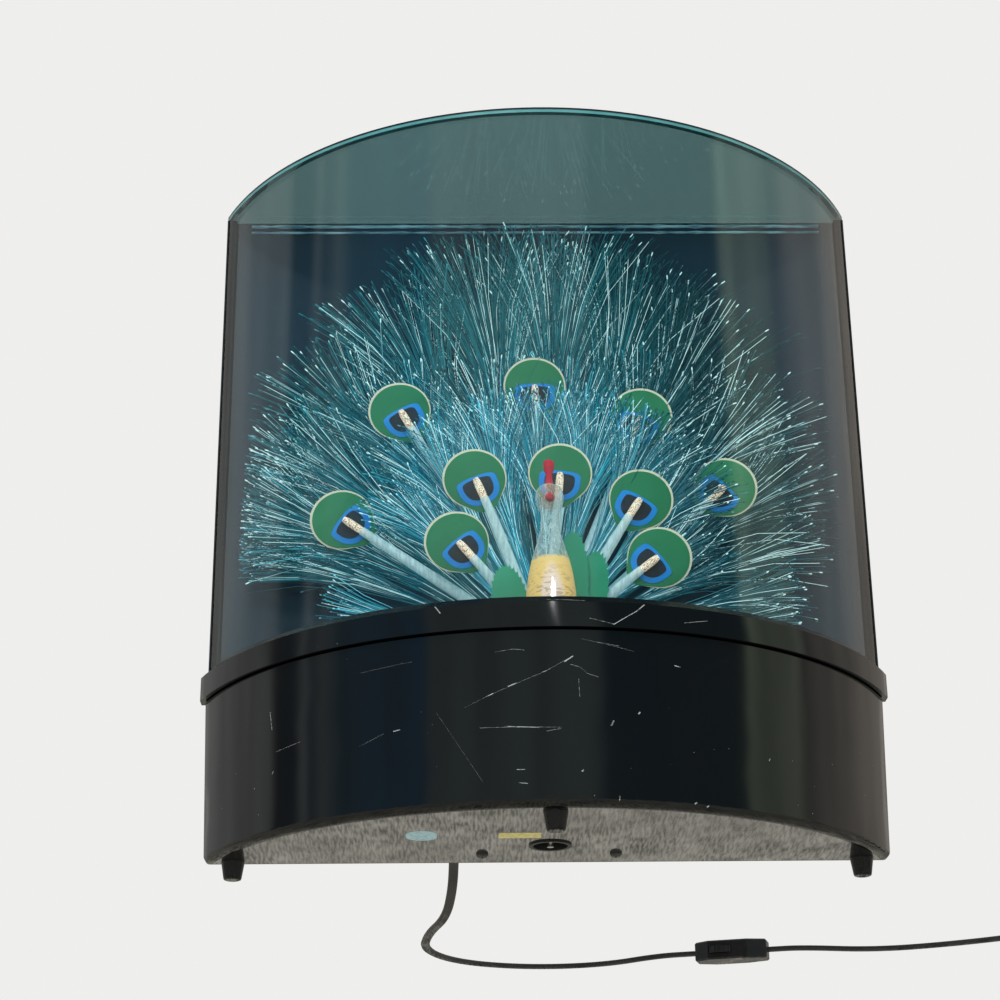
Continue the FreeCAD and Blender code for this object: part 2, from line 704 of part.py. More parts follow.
# Where the lead lies: out of the relief, down to the floor, round behind the lamp to the switch
RELIEF_END = BACK_Y + RELIEF_LENGTH
SWITCH_ENTRY_Z = 6.0
LEAD_ROUTE = [
    V(CORD_EXIT_X, RELIEF_END, CORD_EXIT_Z),
    V(CORD_EXIT_X, RELIEF_END + 18, CORD_EXIT_Z - 1.5),
    V(-51, 135, 11.0),
    V(-55, 168, CORD_REST),
    V(-66, 215, CORD_REST),
    V(-70, 268, CORD_REST),
    V(-48, 312, CORD_REST),
    V(-2, 332, CORD_REST),
    V(46, 328, CORD_REST + 0.4),
    V(80, 318, SWITCH_ENTRY_Z),
    V(104, 311, SWITCH_ENTRY_Z),
]

# Inline switch
SWITCH_HALF = 23.0
SWITCH_DIR = (LEAD_ROUTE[-1] - LEAD_ROUTE[-2]).normalize()
SWITCH_SIDE = V(-SWITCH_DIR.y, SWITCH_DIR.x, 0)
SWITCH_CENTRE = V(LEAD_ROUTE[-1].x, LEAD_ROUTE[-1].y, 0) + SWITCH_DIR * SWITCH_HALF
SWITCH_ANGLE = math.degrees(math.atan2(SWITCH_DIR.y, SWITCH_DIR.x))
SWITCH_HEIGHT = 2 * SWITCH_ENTRY_Z
THUMB_R = 9.0
THUMB_THICK = 4.0
THUMB_ALONG = -6.0
THUMB_ACROSS = -4.5
THUMB_CENTRE = SWITCH_CENTRE + SWITCH_DIR * THUMB_ALONG + SWITCH_SIDE * THUMB_ACROSS
SCREW_ALONG = 6.0
SCREW_ACROSS = 1.5
THUMB_PIN_R = 1.6
SWITCH_END = V(SWITCH_CENTRE.x, SWITCH_CENTRE.y, SWITCH_ENTRY_Z) + SWITCH_DIR * SWITCH_HALF

# From the switch on to the coil
COIL_TURNS = 2.25
COIL_PITCH = 2 * CORD_R + 0.7
COIL_OUT_R = 38.5
COIL_CENTRE = V(304, 122, 0)
COIL_START_DEG = 0.0

RUN_ROUTE = [
    SWITCH_END,
    SWITCH_END + SWITCH_DIR * 22,
    V(212, 279, CORD_REST + 0.2),
    V(256, 261, CORD_REST),
    V(300, 232, CORD_REST),
    V(331, 195, CORD_REST),
    V(COIL_CENTRE.x + COIL_OUT_R, 158, CORD_REST),
    V(COIL_CENTRE.x + COIL_OUT_R, COIL_CENTRE.y + 2 * CORD_R, CORD_REST),
]


def switch_frame(shape):
    """Turns a shape drawn along X about the origin into the switch's place."""
    shape.rotate(V(0, 0, 0), V(0, 0, 1), SWITCH_ANGLE)
    return shape.translated(SWITCH_CENTRE)


def switch_outline(z0, z1):
    points = [(-23, 5.2), (-11, 10.5), (9, 10.5), (23, 6.0), (23, -6.0), (11, -10.5), (-14, -10.5), (-23, -5.2)]
    corners = [V(x, y, z0) for x, y in points]
    block = Part.Face(Part.makePolygon(corners + corners[:1])).extrude(V(0, 0, z1 - z0))
    upright = [e for e in block.Edges if abs(e.Vertexes[0].Z - e.Vertexes[1].Z) > 1]
    return block.makeFillet(1.5, upright)


def switch_half(z0, z1, outer_z):
    """One shell of the switch, its outer edges eased, with a pocket for the thumb wheel."""
    block = switch_outline(z0, z1)
    rim_edges = []
    for edge in block.Edges:
        if max(abs(edge.BoundBox.ZMin - outer_z), abs(edge.BoundBox.ZMax - outer_z)) < 0.01:
            rim_edges.append(edge)
    block = block.makeChamfer(0.9, rim_edges)
    pocket_low = SWITCH_ENTRY_Z - THUMB_THICK / 2 - 0.3
    pocket_high = SWITCH_ENTRY_Z + THUMB_THICK / 2 + 0.3
    pocket = up_rod(THUMB_R + 0.4, THUMB_ALONG, THUMB_ACROSS, pocket_low, pocket_high)
    return block.cut(pocket)


def switch_base():
    half = switch_half(0.0, SWITCH_ENTRY_Z, 0.0)
    pin = up_rod(THUMB_PIN_R, THUMB_ALONG, THUMB_ACROSS, 3.0, SWITCH_ENTRY_Z + THUMB_THICK / 2 + 0.2)
    half = fuse(half, pin)
    half = half.cut(up_rod(1.2, SCREW_ALONG, SCREW_ACROSS, 1.5, SWITCH_ENTRY_Z + 1))
    return switch_frame(half)


def switch_cover():
    half = switch_half(SWITCH_ENTRY_Z, SWITCH_HEIGHT, SWITCH_HEIGHT)
    half = half.cut(up_rod(1.4, SCREW_ALONG, SCREW_ACROSS, 5, SWITCH_HEIGHT + 1))
    half = half.cut(up_rod(3.1, SCREW_ALONG, SCREW_ACROSS, SWITCH_HEIGHT - 1.2, SWITCH_HEIGHT + 1))
    return switch_frame(half)


def switch_screw():
    top = SWITCH_HEIGHT - 1.2
    head = turned([(0, top), (2.9, top), (2.9, top + 1.0), (2.0, top + 1.5), (0, top + 1.5)], 0, 0)
    screw = fuse(head, up_rod(1.15, 0, 0, 2.0, top)).cut(box(-2.2, 2.2, -0.35, 0.35, top + 0.7, top + 3))
    return switch_frame(screw.translated(V(SCREW_ALONG, SCREW_ACROSS, 0)))


def switch_wheel():
    low = SWITCH_ENTRY_Z - THUMB_THICK / 2
    wheel = up_rod(THUMB_R, THUMB_ALONG, THUMB_ACROSS, low, low + THUMB_THICK)
    notches = []
    notch_ring = THUMB_R + 0.3
    for k in range(20):
        a = math.radians(18 * k)
        x = THUMB_ALONG + notch_ring * math.cos(a)
        y = THUMB_ACROSS + notch_ring * math.sin(a)
        notches.append(up_rod(0.7, x, y, low - 1, low + 6))
    wheel = wheel.cut(Part.makeCompound(notches))
    wheel = wheel.cut(up_rod(THUMB_PIN_R + 0.05, THUMB_ALONG, THUMB_ACROSS, low - 1, low + 6))
    return switch_frame(wheel)


def strain_relief():
    """A rubber bush through the back wall, with a tapered tail round the lead."""
    profile = [
        (0, -3), (7.5, -3), (7.5, 0), (5.1, 0), (5.1, 6), (7.0, 6), (7.0, 8.5), (5.6, 8.5), (3.3, 28), (0, 28),
    ]
    points = [V(r, BACK_Y - BACK_WALL + y, 0) for r, y in profile]
    face = Part.Face(Part.makePolygon(points + points[:1]))
    body = face.revolve(V(0, 0, 0), V(0, 1, 0), 360).translated(V(CORD_EXIT_X, 0, CORD_EXIT_Z))
    grooves = [
        Part.makeTorus(5.7 - 0.36 * k, 0.55, V(CORD_EXIT_X, BACK_Y + 5.5 + 3.0 * k, CORD_EXIT_Z), V(0, 1, 0))
        for k in range(5)
    ]
    return body.cut(Part.makeCompound(grooves))


# Coil of the length put away: in on the floor, up a layer, and out again on top

def coil_point(turn):
    """A point of the coil's centre line; turn counts from the outer end of the lower layer."""
    climb_start = COIL_TURNS
    share = min(1.0, max(0.0, (turn - climb_start) / 0.5))
    rise = 0.5 - 0.5 * math.cos(math.pi * share)
    turns_to_middle = abs(turn - climb_start - 0.25)
    radius = COIL_OUT_R - COIL_PITCH * (climb_start + 0.25 - turns_to_middle)
    angle = math.radians(COIL_START_DEG) - 2 * math.pi * turn
    return COIL_CENTRE + V(radius * math.cos(angle), radius * math.sin(angle), CORD_REST + rise * COIL_PITCH)


def arc_from(start, tangent, end):
    """The arc that leaves start along tangent and reaches end."""
    chord = end - start
    unit = V(chord).normalize()
    cosine = max(-1.0, min(1.0, tangent.dot(unit)))
    half_turn = math.acos(cosine)
    if half_turn < 1e-6:
        return Part.makeLine(start, end)
    normal = (tangent - unit * cosine).normalize()
    bulge = chord.Length / 2 * math.tan(half_turn / 2)
    return Part.Arc(start, start + chord * 0.5 + normal * bulge, end).toShape()


def biarc(p0, t0, p1, t1):
    """Two arcs that join the points and share a tangent where they meet."""
    span = p1 - p0
    both = t0 + t1
    spare = 2 * (1 - t0.dot(t1))
    along = span.dot(both)
    reach = (-along + math.sqrt(along ** 2 + spare * span.dot(span))) / spare
    joint = (p0 + t0 * reach + p1 - t1 * reach) * 0.5
    joint_dir = (p1 - t1 * reach - p0 - t0 * reach).normalize()
    return [arc_from(p0, t0, joint), arc_from(joint, joint_dir, p1)]


def coil_wire():
    turns = 2 * COIL_TURNS + 0.5
    steps = int(round(turns * 4))
    knots = [k / 4.0 for k in range(steps + 1)]
    reach = 0.02
    places = [coil_point(t) for t in knots]
    tangents = []
    for t in knots:
        tangents.append((coil_point(t + reach) - coil_point(t - reach)).normalize())
    tangents[0] = V(0, -1, 0)
    edges = [Part.makeLine(places[0] - tangents[0] * 2 * CORD_R, places[0])]
    for k in range(steps):
        edges.extend(biarc(places[k], tangents[k], places[k + 1], tangents[k + 1]))
    edges.append(Part.makeLine(places[-1], places[-1] + tangents[-1] * 2 * CORD_R))
    return Part.Wire(edges), places[-1] + tangents[-1] * 2 * CORD_R, tangents[-1]


def least_gap(wire):
    """The least distance between the surfaces of two turns, on points along the wire."""
    points = []
    for edge in wire.Edges:
        points.extend(edge.discretize(9)[:-1])
    lengths = [0.0]
    for a, b in zip(points, points[1:]):
        lengths.append(lengths[-1] + (b - a).Length)
    least = 1e9
    for i in range(len(points)):
        for j in range(i + 1, len(points)):
            if lengths[j] - lengths[i] > 12 * CORD_R:
                least = min(least, (points[i] - points[j]).Length)
    return least - 2 * CORD_R


COIL_WIRE, COIL_END, COIL_END_DIR = coil_wire()

# The plug lies beside the coil
PLUG_LENGTH = 27.0
PLUG_WIDTH = 22.0
PLUG_THICK = 12.0
PLUG_CENTRE_Z = PLUG_THICK / 2
PLUG_FACE_DIR = V(-0.45, -1, 0).normalize()
PLUG_BACK = COIL_CENTRE + V(10.5, -108, PLUG_CENTRE_Z)

END_ROUTE = [
    COIL_END,
    COIL_END + COIL_END_DIR * 20,
    COIL_CENTRE + V(36, -50, 5.2),
    COIL_CENTRE + V(28.5, -74, CORD_REST + 0.1),
    PLUG_BACK - PLUG_FACE_DIR * 14 + V(0, 0, -1.8),
    PLUG_BACK,
]


def plug_frame(shape):
    angle = math.degrees(math.atan2(PLUG_FACE_DIR.y, PLUG_FACE_DIR.x))
    shape.rotate(V(0, 0, 0), V(0, 0, 1), angle)
    return shape.translated(V(PLUG_BACK.x, PLUG_BACK.y, PLUG_CENTRE_Z))


def plug_body():
    """A moulded flat plug: narrow where the lead enters, with finger flats towards its face."""
    def section(x, width, thick):
        w, t, r = width / 2, thick / 2, thick / 3
        corners = [V(x, -w, -t), V(x, w, -t), V(x, w, t), V(x, -w, t)]
        block = Part.Face(Part.makePolygon(corners + corners[:1])).extrude(V(1, 0, 0))
        block = block.makeFillet(r, [e for e in block.Edges if abs(e.Vertexes[0].X - e.Vertexes[1].X) > 0.5])
        face = [f for f in block.Faces if abs(f.CenterOfMass.x - x) < 0.01][0]
        return face.OuterWire
    wires = [
        section(0, 9, 8), section(7, 13, 9.5), section(13, 19, 11), section(20, 21, 11.6),
        section(PLUG_LENGTH, PLUG_WIDTH, PLUG_THICK - 0.1),
    ]
    return plug_frame(Part.makeLoft(wires, True, True))


def plug_blades():
    blades = []
    for side in (-1, 1):
        y = side * 6.35
        blade = box(PLUG_LENGTH, PLUG_LENGTH + 16, y - 0.75, y + 0.75, -3.15, 3.15)
        hole = Part.makeCylinder(1.6, 4, V(PLUG_LENGTH + 12, y - 2, 0), V(0, 1, 0))
        blades.append(blade.cut(hole))
    return plug_frame(Part.makeCompound(blades))


# Leads inside the base, from the relief to the socket and the motor

WIRE_R = 1.3
CAP_POINT = V(-78, 30, 19.0)


def inner_leads():
    relief_face = V(CORD_EXIT_X, BACK_Y - BACK_WALL - 3, CORD_EXIT_Z)
    supply = [relief_face, relief_face + V(0, -9, 0), V(-58, 38, 21), V(-69, 31.5, 20), CAP_POINT + V(2, 0, 0)]
    to_motor = [
        CAP_POINT + V(-18, 0, 0), CAP_POINT + V(-26, 0, 1), V(-112, 16, 30), V(-98, 6, 45),
        V(-74, 6, 47), V(WHEEL_X - MOTOR_R, WHEEL_Y, 47),
    ]
    to_socket = [
        CAP_POINT + V(-9, 0, 6), CAP_POINT + V(-9, 0, 16), V(-70, 32, 61), V(-40, 44, 66), V(0, 46, 66),
        V(40, 46, 66), V(62, 38, 64), V(66, 24, 60), V(60, FERRULE_Y, BULB_Z),
        V(SOCKET_X1 + SHEET_METAL, FERRULE_Y, BULB_Z),
    ]
    leads = []
    for name, route in (("supply lead", supply), ("motor lead", to_motor), ("socket lead", to_socket)):
        leads.append(tube(rounded_path(route, name), WIRE_R, name))
    return Part.makeCompound(leads)


def wire_cap():
    """The cap in which the leads are joined: a ribbed cup lying on its side."""
    start = CAP_POINT + V(2, 0, 0)
    body = rod(6.0, start, start + V(-20, 0, 0))
    edges = [e for e in body.Edges if isinstance(e.Curve, Part.Circle)]
    return body.makeFillet(1.0, edges)


def main():
    save("base_shell", base_shell())
    save("bottom_plate", bottom_plate())
    for name, (x, y) in FEET.items():
        save("foot_" + name, foot(x, y))
    save("bracket_screws", bracket_screws())
    save("key_cup", key_cup())
    save("winding_key", winding_key())
    save("music_movement", music_movement())
    save("light_bracket", light_bracket())
    save("lamp_socket", lamp_socket())
    save("bulb_glass", bulb_glass())
    save("bulb_cap", bulb_cap())
    save("reflector", reflector())
    save("wheel_motor", wheel_motor())
    save("wheel_shaft", wheel_shaft())
    save("color_wheel", color_wheel())
    save("color_filters", color_filters())
    save("inner_leads", inner_leads())
    save("wire_cap", wire_cap())

    save("base_rim", base_rim())
    save("display_deck", display_deck())
    save("back_panel", back_panel())
    save("edge_strip_left", edge_strip(-1))
    save("edge_strip_right", edge_strip(1))
    save("front_cover", front_cover())
    save("top_plate", top_plate())

    save("fiber_ferrule", fiber_ferrule())
    save("fiber_bundle", fiber_bundle())
    save("feather_stems", feather_stems())
    for k, eye in enumerate(EYES, 1):
        save(f"eye_card_{k:02d}", eye_card(*eye))
    save("sprays_front", sprays(FRONT_FANS, 12.0, 8.0))
    save("sprays_middle", sprays(MIDDLE_FANS, 21.0, 27.0))
    save("sprays_rear", sprays(REAR_FANS, 25.0, 52.0))
    save("bird_body", bird_body())
    save("bird_crest", bird_crest())
    save("bird_beak", bird_beak())
    save("bird_wings", bird_wings())

    save("strain_relief", strain_relief())
    save("cord_lead", tube(rounded_path(LEAD_ROUTE, "cord_lead"), CORD_R, "cord_lead"))
    save("cord_run", tube(rounded_path(RUN_ROUTE, "cord_run"), CORD_R, "cord_run"))
    save("cord_coil", tube(COIL_WIRE, CORD_R, "cord_coil"))
    print(f"cord_coil: length {COIL_WIRE.Length:.1f} mm, least gap between turns {least_gap(COIL_WIRE):.2f} mm")
    save("cord_end", tube(rounded_path(END_ROUTE, "cord_end"), CORD_R, "cord_end"))
    save("switch_base", switch_base())
    save("switch_cover", switch_cover())
    save("switch_screw", switch_screw())
    save("switch_wheel", switch_wheel())
    save("plug_body", plug_body())
    save("plug_blades", plug_blades())


main()
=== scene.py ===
import json
import math
import random

import bpy
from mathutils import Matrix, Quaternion, Vector


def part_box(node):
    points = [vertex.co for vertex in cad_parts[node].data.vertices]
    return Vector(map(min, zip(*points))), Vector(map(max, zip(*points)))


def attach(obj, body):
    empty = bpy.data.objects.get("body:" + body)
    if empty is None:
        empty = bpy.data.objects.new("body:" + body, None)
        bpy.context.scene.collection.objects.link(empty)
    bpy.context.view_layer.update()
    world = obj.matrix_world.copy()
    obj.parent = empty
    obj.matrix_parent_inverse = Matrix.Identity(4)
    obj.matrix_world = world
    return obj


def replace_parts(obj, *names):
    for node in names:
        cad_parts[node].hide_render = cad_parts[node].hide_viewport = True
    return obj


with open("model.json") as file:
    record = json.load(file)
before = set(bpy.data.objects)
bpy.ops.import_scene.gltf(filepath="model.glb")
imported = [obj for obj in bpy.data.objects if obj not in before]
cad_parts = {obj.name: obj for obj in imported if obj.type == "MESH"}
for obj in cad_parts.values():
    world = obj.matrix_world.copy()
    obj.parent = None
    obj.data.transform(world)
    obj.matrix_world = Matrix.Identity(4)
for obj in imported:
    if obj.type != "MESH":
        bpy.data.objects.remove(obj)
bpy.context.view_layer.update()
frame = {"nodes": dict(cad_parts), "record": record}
MM = 0.001

# Camera: it looks up at the lamp from below its front edge, a little from the left,
# with a long lens and a slight roll.
CAMERA_AT = Vector((-44.8, -1068.7, -243.2)) * MM
CAMERA_AIM = Vector((-24.46, 0.0, 193.07)) * MM
CAMERA_ROLL = math.radians(-0.62)
bpy.ops.object.camera_add(location=CAMERA_AT)
camera = bpy.context.object
camera.data.lens = 77.3
camera.data.sensor_width = 36.0
camera.data.clip_start = 0.05
camera.data.clip_end = 30.0
camera.rotation_mode = "QUATERNION"
looking = (CAMERA_AIM - CAMERA_AT).to_track_quat("-Z", "Y")
camera.rotation_quaternion = looking @ Quaternion((0, 0, 1), CAMERA_ROLL)
bpy.context.scene.camera = camera


# Lead: flat black two-wire flex, 5.5 mm wide. It leaves a rubber bush in the back of the base, drops to
# the floor, curves round behind the lamp through its switch, and the rest is wound into a coil with the plug.

class Signal:
    """An output socket of a material's node; arithmetic on it adds Math nodes."""

    def __init__(self, socket):
        self.socket = socket

    def math(self, operation, *values):
        return node(self.socket.id_data, "ShaderNodeMath", {"operation": operation}, [self, *values])

    def __add__(self, other):
        return self.math("ADD", other)

    def __radd__(self, other):
        return self.math("ADD", other)

    def __sub__(self, other):
        return self.math("SUBTRACT", other)

    def __rsub__(self, other):
        return (self * -1).math("ADD", other)

    def __mul__(self, other):
        return self.math("MULTIPLY", other)

    def __rmul__(self, other):
        return self.math("MULTIPLY", other)

    def __truediv__(self, other):
        return self.math("DIVIDE", other)

    def __abs__(self):
        return self.math("ABSOLUTE")

    def step(self, start, end):
        """0 before start and 1 after end, with a smooth change between; end may be below start."""
        settings = {"interpolation_type": "SMOOTHSTEP"}
        return node(self.socket.id_data, "ShaderNodeMapRange", settings, [self, start, end])

    def mix(self, first, second):
        """The first colour where this is 0 and the second where it is 1."""
        settings = {"data_type": "RGBA"}
        sockets = {0: self, 6: first, 7: second}
        return node(self.socket.id_data, "ShaderNodeMix", settings, sockets, output=2)


def node(tree, kind, settings=None, values=(), output=0):
    """Adds a node: its settings first, then the values or links of its sockets, by order or by name."""
    made = tree.nodes.new(kind)
    for name, value in (settings or {}).items():
        if name == "stops":
            ramp = made.color_ramp
            for place, color in value[2:]:
                ramp.elements.new(place)
            for element, (place, color) in zip(ramp.elements, sorted(value)):
                element.position = place
                element.color = color
        else:
            setattr(made, name, value)
    pairs = values.items() if isinstance(values, dict) else enumerate(values)
    for key, value in pairs:
        if isinstance(value, Signal):
            tree.links.new(value.socket, made.inputs[key])
        else:
            made.inputs[key].default_value = value
    return Signal(made.outputs[output])


class Finish:
    """A material: constants go straight to the shader's sockets, and what varies is linked with feed()."""

    def __init__(self, name, **constants):
        self.material = bpy.data.materials.new(name)
        self.material.use_nodes = True
        self.tree = self.material.node_tree
        self.shader = self.tree.nodes["Principled BSDF"]
        for key, value in constants.items():
            self.shader.inputs[key.replace("_", " ").title().replace("Ior", "IOR")].default_value = value

    def node(self, kind, settings=None, values=(), output=0):
        return node(self.tree, kind, settings, values, output)

    def place(self):
        return self.node("ShaderNodeTexCoord", output=3)

    def xyz(self):
        place = self.place()
        return [self.node("ShaderNodeSeparateXYZ", None, [place], k) for k in range(3)]

    def noise(self, scale, detail=2.0, stretch=(1, 1, 1), distortion=0.0):
        place = self.node("ShaderNodeMapping", None, {"Vector": self.place(), "Scale": stretch})
        values = {"Vector": place, "Scale": scale, "Detail": detail, "Distortion": distortion}
        return self.node("ShaderNodeTexNoise", None, values)

    def specks(self, scale, size):
        """Small round dots scattered about, 1 in each dot; size is a share of the spacing."""
        values = {"Vector": self.place(), "Scale": scale}
        return self.node("ShaderNodeTexVoronoi", None, values).step(size, size * 0.5)

    def attribute(self, name):
        return self.node("ShaderNodeAttribute", {"attribute_name": name}, output=2)

    def feed(self, socket, value):
        self.tree.links.new(value.socket, self.shader.inputs[socket])
        return self

    def bump(self, height, depth):
        bumped = self.node("ShaderNodeBump", None, {"Strength": 1.0, "Distance": depth, "Height": height})
        return self.feed("Normal", bumped)

    def end_with(self, shader):
        """Makes another shader the surface."""
        self.tree.links.new(shader.socket, self.tree.nodes["Material Output"].inputs["Surface"])
        return self


def rgb(red, green, blue):
    return (red, green, blue, 1.0)


def only(piece):
    """Selects one object and nothing else."""
    bpy.ops.object.select_all(action="DESELECT")
    piece.select_set(True)
    bpy.context.view_layer.objects.active = piece
    return piece


def paint(piece, *finishes):
    piece.data.materials.clear()
    for finish in finishes:
        piece.data.materials.append(finish.material)
    return piece


def smooth(piece, degrees=30.0):
    only(piece)
    bpy.ops.object.shade_smooth_by_angle(angle=math.radians(degrees))
    return piece


CORD_LIE = 1.7
LEAD_POINTS = [
    (-50, 88, 24), (-50, 106, 22.5), (-51, 135, 11), (-55, 168, CORD_LIE), (-66, 215, CORD_LIE),
    (-70, 268, CORD_LIE), (-48, 312, CORD_LIE), (-2, 332, CORD_LIE), (46, 328, 2.4), (80, 318, 6),
    (104, 311, 6), (126.1, 304.6, 6), (148.2, 298.1, 6), (169.3, 292, 6), (212, 279, 1.9),
    (256, 261, CORD_LIE), (300, 232, CORD_LIE), (331, 195, CORD_LIE), (342.5, 158, CORD_LIE),
]
COIL_CENTRE = Vector((304, 122, 0))
COIL_OUTER = 38.5
COIL_PITCH = 6.2
COIL_TURNS = 2.25
COIL_RISE = 3.2
COIL_STEPS = 16
TAIL_POINTS = [(342.9, 96, 4.9), (340, 72, 3.4), (332.5, 48, 1.8), (320.2, 26.8, 4.2), (314.5, 14, 6)]


def coil_points():
    """In on the floor, up a layer where the spiral turns back, and out again on top."""
    middle = COIL_TURNS + 0.25
    for k in range(int((2 * COIL_TURNS + 0.5) * COIL_STEPS) + 1):
        turn = k / COIL_STEPS
        share = min(1.0, max(0.0, (turn - COIL_TURNS) / 0.5))
        radius = COIL_OUTER - COIL_PITCH * (middle - abs(turn - middle))
        height = CORD_LIE + COIL_RISE * (0.5 - 0.5 * math.cos(math.pi * share))
        angle = -2 * math.pi * turn
        yield COIL_CENTRE + Vector((radius * math.cos(angle), radius * math.sin(angle), height))


def route_line(points):
    """The smooth line that a NURBS spline draws through its route."""
    curve = bpy.data.curves.new("route", "CURVE")
    curve.dimensions = "3D"
    curve.resolution_u = 10
    spline = curve.splines.new("NURBS")
    spline.points.add(len(points) - 1)
    for point, place in zip(spline.points, points):
        point.co = (*(Vector(place) * MM), 1.0)
    spline.order_u = 3
    spline.use_endpoint_u = True
    holder = bpy.data.objects.new("route", curve)
    bpy.context.scene.collection.objects.link(holder)
    mesh = bpy.data.meshes.new_from_object(holder)
    line = [vertex.co.copy() for vertex in mesh.vertices]
    bpy.data.objects.remove(holder)
    return line


def flex_along(name, line, section):
    """The flex: the points of its section, sideways and up, carried along the line between closed ends."""
    points, faces = [], []
    count = len(section)
    for k, here in enumerate(line):
        along = (line[min(k + 1, len(line) - 1)] - line[max(k - 1, 0)]).normalized()
        side = Vector((along.y, -along.x, 0)).normalized()
        up = side.cross(along)
        points += [here + side * across + up * high for across, high in section]
    for k in range(len(line) - 1):
        for j in range(count):
            a, b = k * count + j, k * count + (j + 1) % count
            faces.append((a, b, b + count, a + count))
    faces.append(tuple(reversed(range(count))))
    faces.append(tuple(range(len(points) - count, len(points))))
    mesh = bpy.data.meshes.new(name)
    mesh.from_pydata(points, [], faces)
    piece = bpy.data.objects.new(name, mesh)
    bpy.context.scene.collection.objects.link(piece)
    return piece


def outward(piece):
    """Merges doubled points and turns every face to the outside."""
    only(piece)
    bpy.ops.object.mode_set(mode="EDIT")
    bpy.ops.mesh.select_all(action="SELECT")
    bpy.ops.mesh.remove_doubles(threshold=0.000001)
    bpy.ops.mesh.normals_make_consistent(inside=False)
    bpy.ops.object.mode_set(mode="OBJECT")
    return piece


def flex_section():
    """Two round cores side by side with a shallow web between them."""
    lobe, apart = 1.45 * MM, 1.3 * MM
    right = [(apart + lobe * math.cos(a), lobe * math.sin(a)) for a in (-2.1, -1.4, -0.7, 0, 0.7, 1.4, 2.1)]
    left = [(-x, -z) for x, z in right]
    return right + left


flex = Finish("flex_pvc", Roughness=0.42)
flex.feed("Base Color", flex.noise(260.0).mix(rgb(0.018, 0.019, 0.021), rgb(0.04, 0.041, 0.045)))
flex.bump(flex.noise(900.0, 3.0), 0.00008)

cord_line = route_line(LEAD_POINTS + list(coil_points()) + TAIL_POINTS)
lead = flex_along("lead", cord_line, flex_section())
smooth(paint(outward(lead), flex), 40)
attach(lead, "base")
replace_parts(lead, "cord_lead", "cord_run", "cord_coil", "cord_end")


# Floor, sky and lamps: a pale floor that is seen from above only and glows to every ray but the camera's
# as painted bounce light, a pale surround, a large soft lamp high in front, weaker ones on the right and
# low in front, and a small one that gives the gloss its glint.

bpy.ops.object.select_all(action="DESELECT")
bpy.ops.mesh.primitive_plane_add(size=9.0, location=(0, 0, 0))
floor = bpy.context.object
floor.name = "floor"
ground = Finish("floor_pale", Roughness=0.9)
ground.shader.inputs["Base Color"].default_value = rgb(0.55, 0.545, 0.53)
camera_ray = ground.node("ShaderNodeLightPath", output=0)
threads = ground.noise(800.0, 3.0, (1, 0.1, 1)).step(0.36, 0.62)
weave = ground.noise(46.0, 5.0).step(0.3, 0.7) * 0.4 + threads * 0.6
# To every ray but the camera's the floor glows with its woven tone at strength 1: painted bounce light and a
# painted reflection.
glow = ground.node("ShaderNodeEmission", None, {
    "Color": weave.mix(rgb(0.12, 0.12, 0.1), rgb(0.68, 0.65, 0.56)), "Strength": 1.0})
own = Signal(ground.shader.outputs[0])
seen = ground.node("ShaderNodeMixShader", None, [camera_ray, glow, own])
under = ground.node("ShaderNodeNewGeometry", output=6)
clear = ground.node("ShaderNodeBsdfTransparent")
ground.end_with(ground.node("ShaderNodeMixShader", None, [under, seen, clear]))
paint(floor, ground)

world = bpy.data.worlds.new("surround")
bpy.context.scene.world = world
world.use_nodes = True
sky = world.node_tree
sky.nodes.clear()
direction = node(sky, "ShaderNodeTexCoord", output=0)
dir_x, dir_y = [node(sky, "ShaderNodeSeparateXYZ", None, [direction], k) for k in range(2)]
# What the gloss mirrors, by bearing in degrees from the front, positive to the right: mid grey at both
# sides, narrow bright bands on the left, blue-grey ahead, dark to its right, then a pale band
BEARINGS = [
    (-180, (0.42, 0.42, 0.4)), (-97, (0.5, 0.52, 0.5)), (-93, (0.07, 0.08, 0.09)), (-85, (0.08, 0.1, 0.12)),
    (-82, (0.5, 0.55, 0.56)), (-78, (0.16, 0.2, 0.24)), (-73, (0.42, 0.5, 0.52)), (-67, (0.13, 0.25, 0.34)),
    (-39, (0.1, 0.25, 0.42)), (-35, (0.32, 0.4, 0.41)), (15, (0.32, 0.4, 0.41)), (18, (0.05, 0.11, 0.14)),
    (64, (0.05, 0.1, 0.12)), (67, (0.9, 1.1, 0.8)), (72, (0.6, 0.7, 0.52)), (86, (0.62, 0.7, 0.54)),
    (90, (0.3, 0.3, 0.26)), (97, (0.55, 0.5, 0.44)), (180, (0.46, 0.42, 0.38)),
]
bearing = dir_x.math("ARCTAN2", dir_y * -1) / (2 * math.pi) + 0.5
ripple = node(sky, "ShaderNodeTexNoise", None, {"Vector": direction, "Scale": 7.0, "Detail": 3.0})
stops = [((angle + 180) / 360, rgb(*color)) for angle, color in BEARINGS]
room = node(sky, "ShaderNodeValToRGB", {"stops": stops}, [bearing + (ripple - 0.5) * 0.012])
mirrored = (ripple.step(0.3, 0.7) * 0.35).mix(room, rgb(0.12, 0.11, 0.10))
seen_ray = node(sky, "ShaderNodeLightPath", output=0)
glossy_ray = node(sky, "ShaderNodeLightPath", output=3)
around = glossy_ray.mix(rgb(0.52, 0.54, 0.56), mirrored)
backdrop = seen_ray.mix(around, rgb(0.86, 0.855, 0.84))
sky_out = sky.nodes.new("ShaderNodeOutputWorld")
sky.links.new(node(sky, "ShaderNodeBackground", None, {"Color": backdrop}).socket, sky_out.inputs["Surface"])


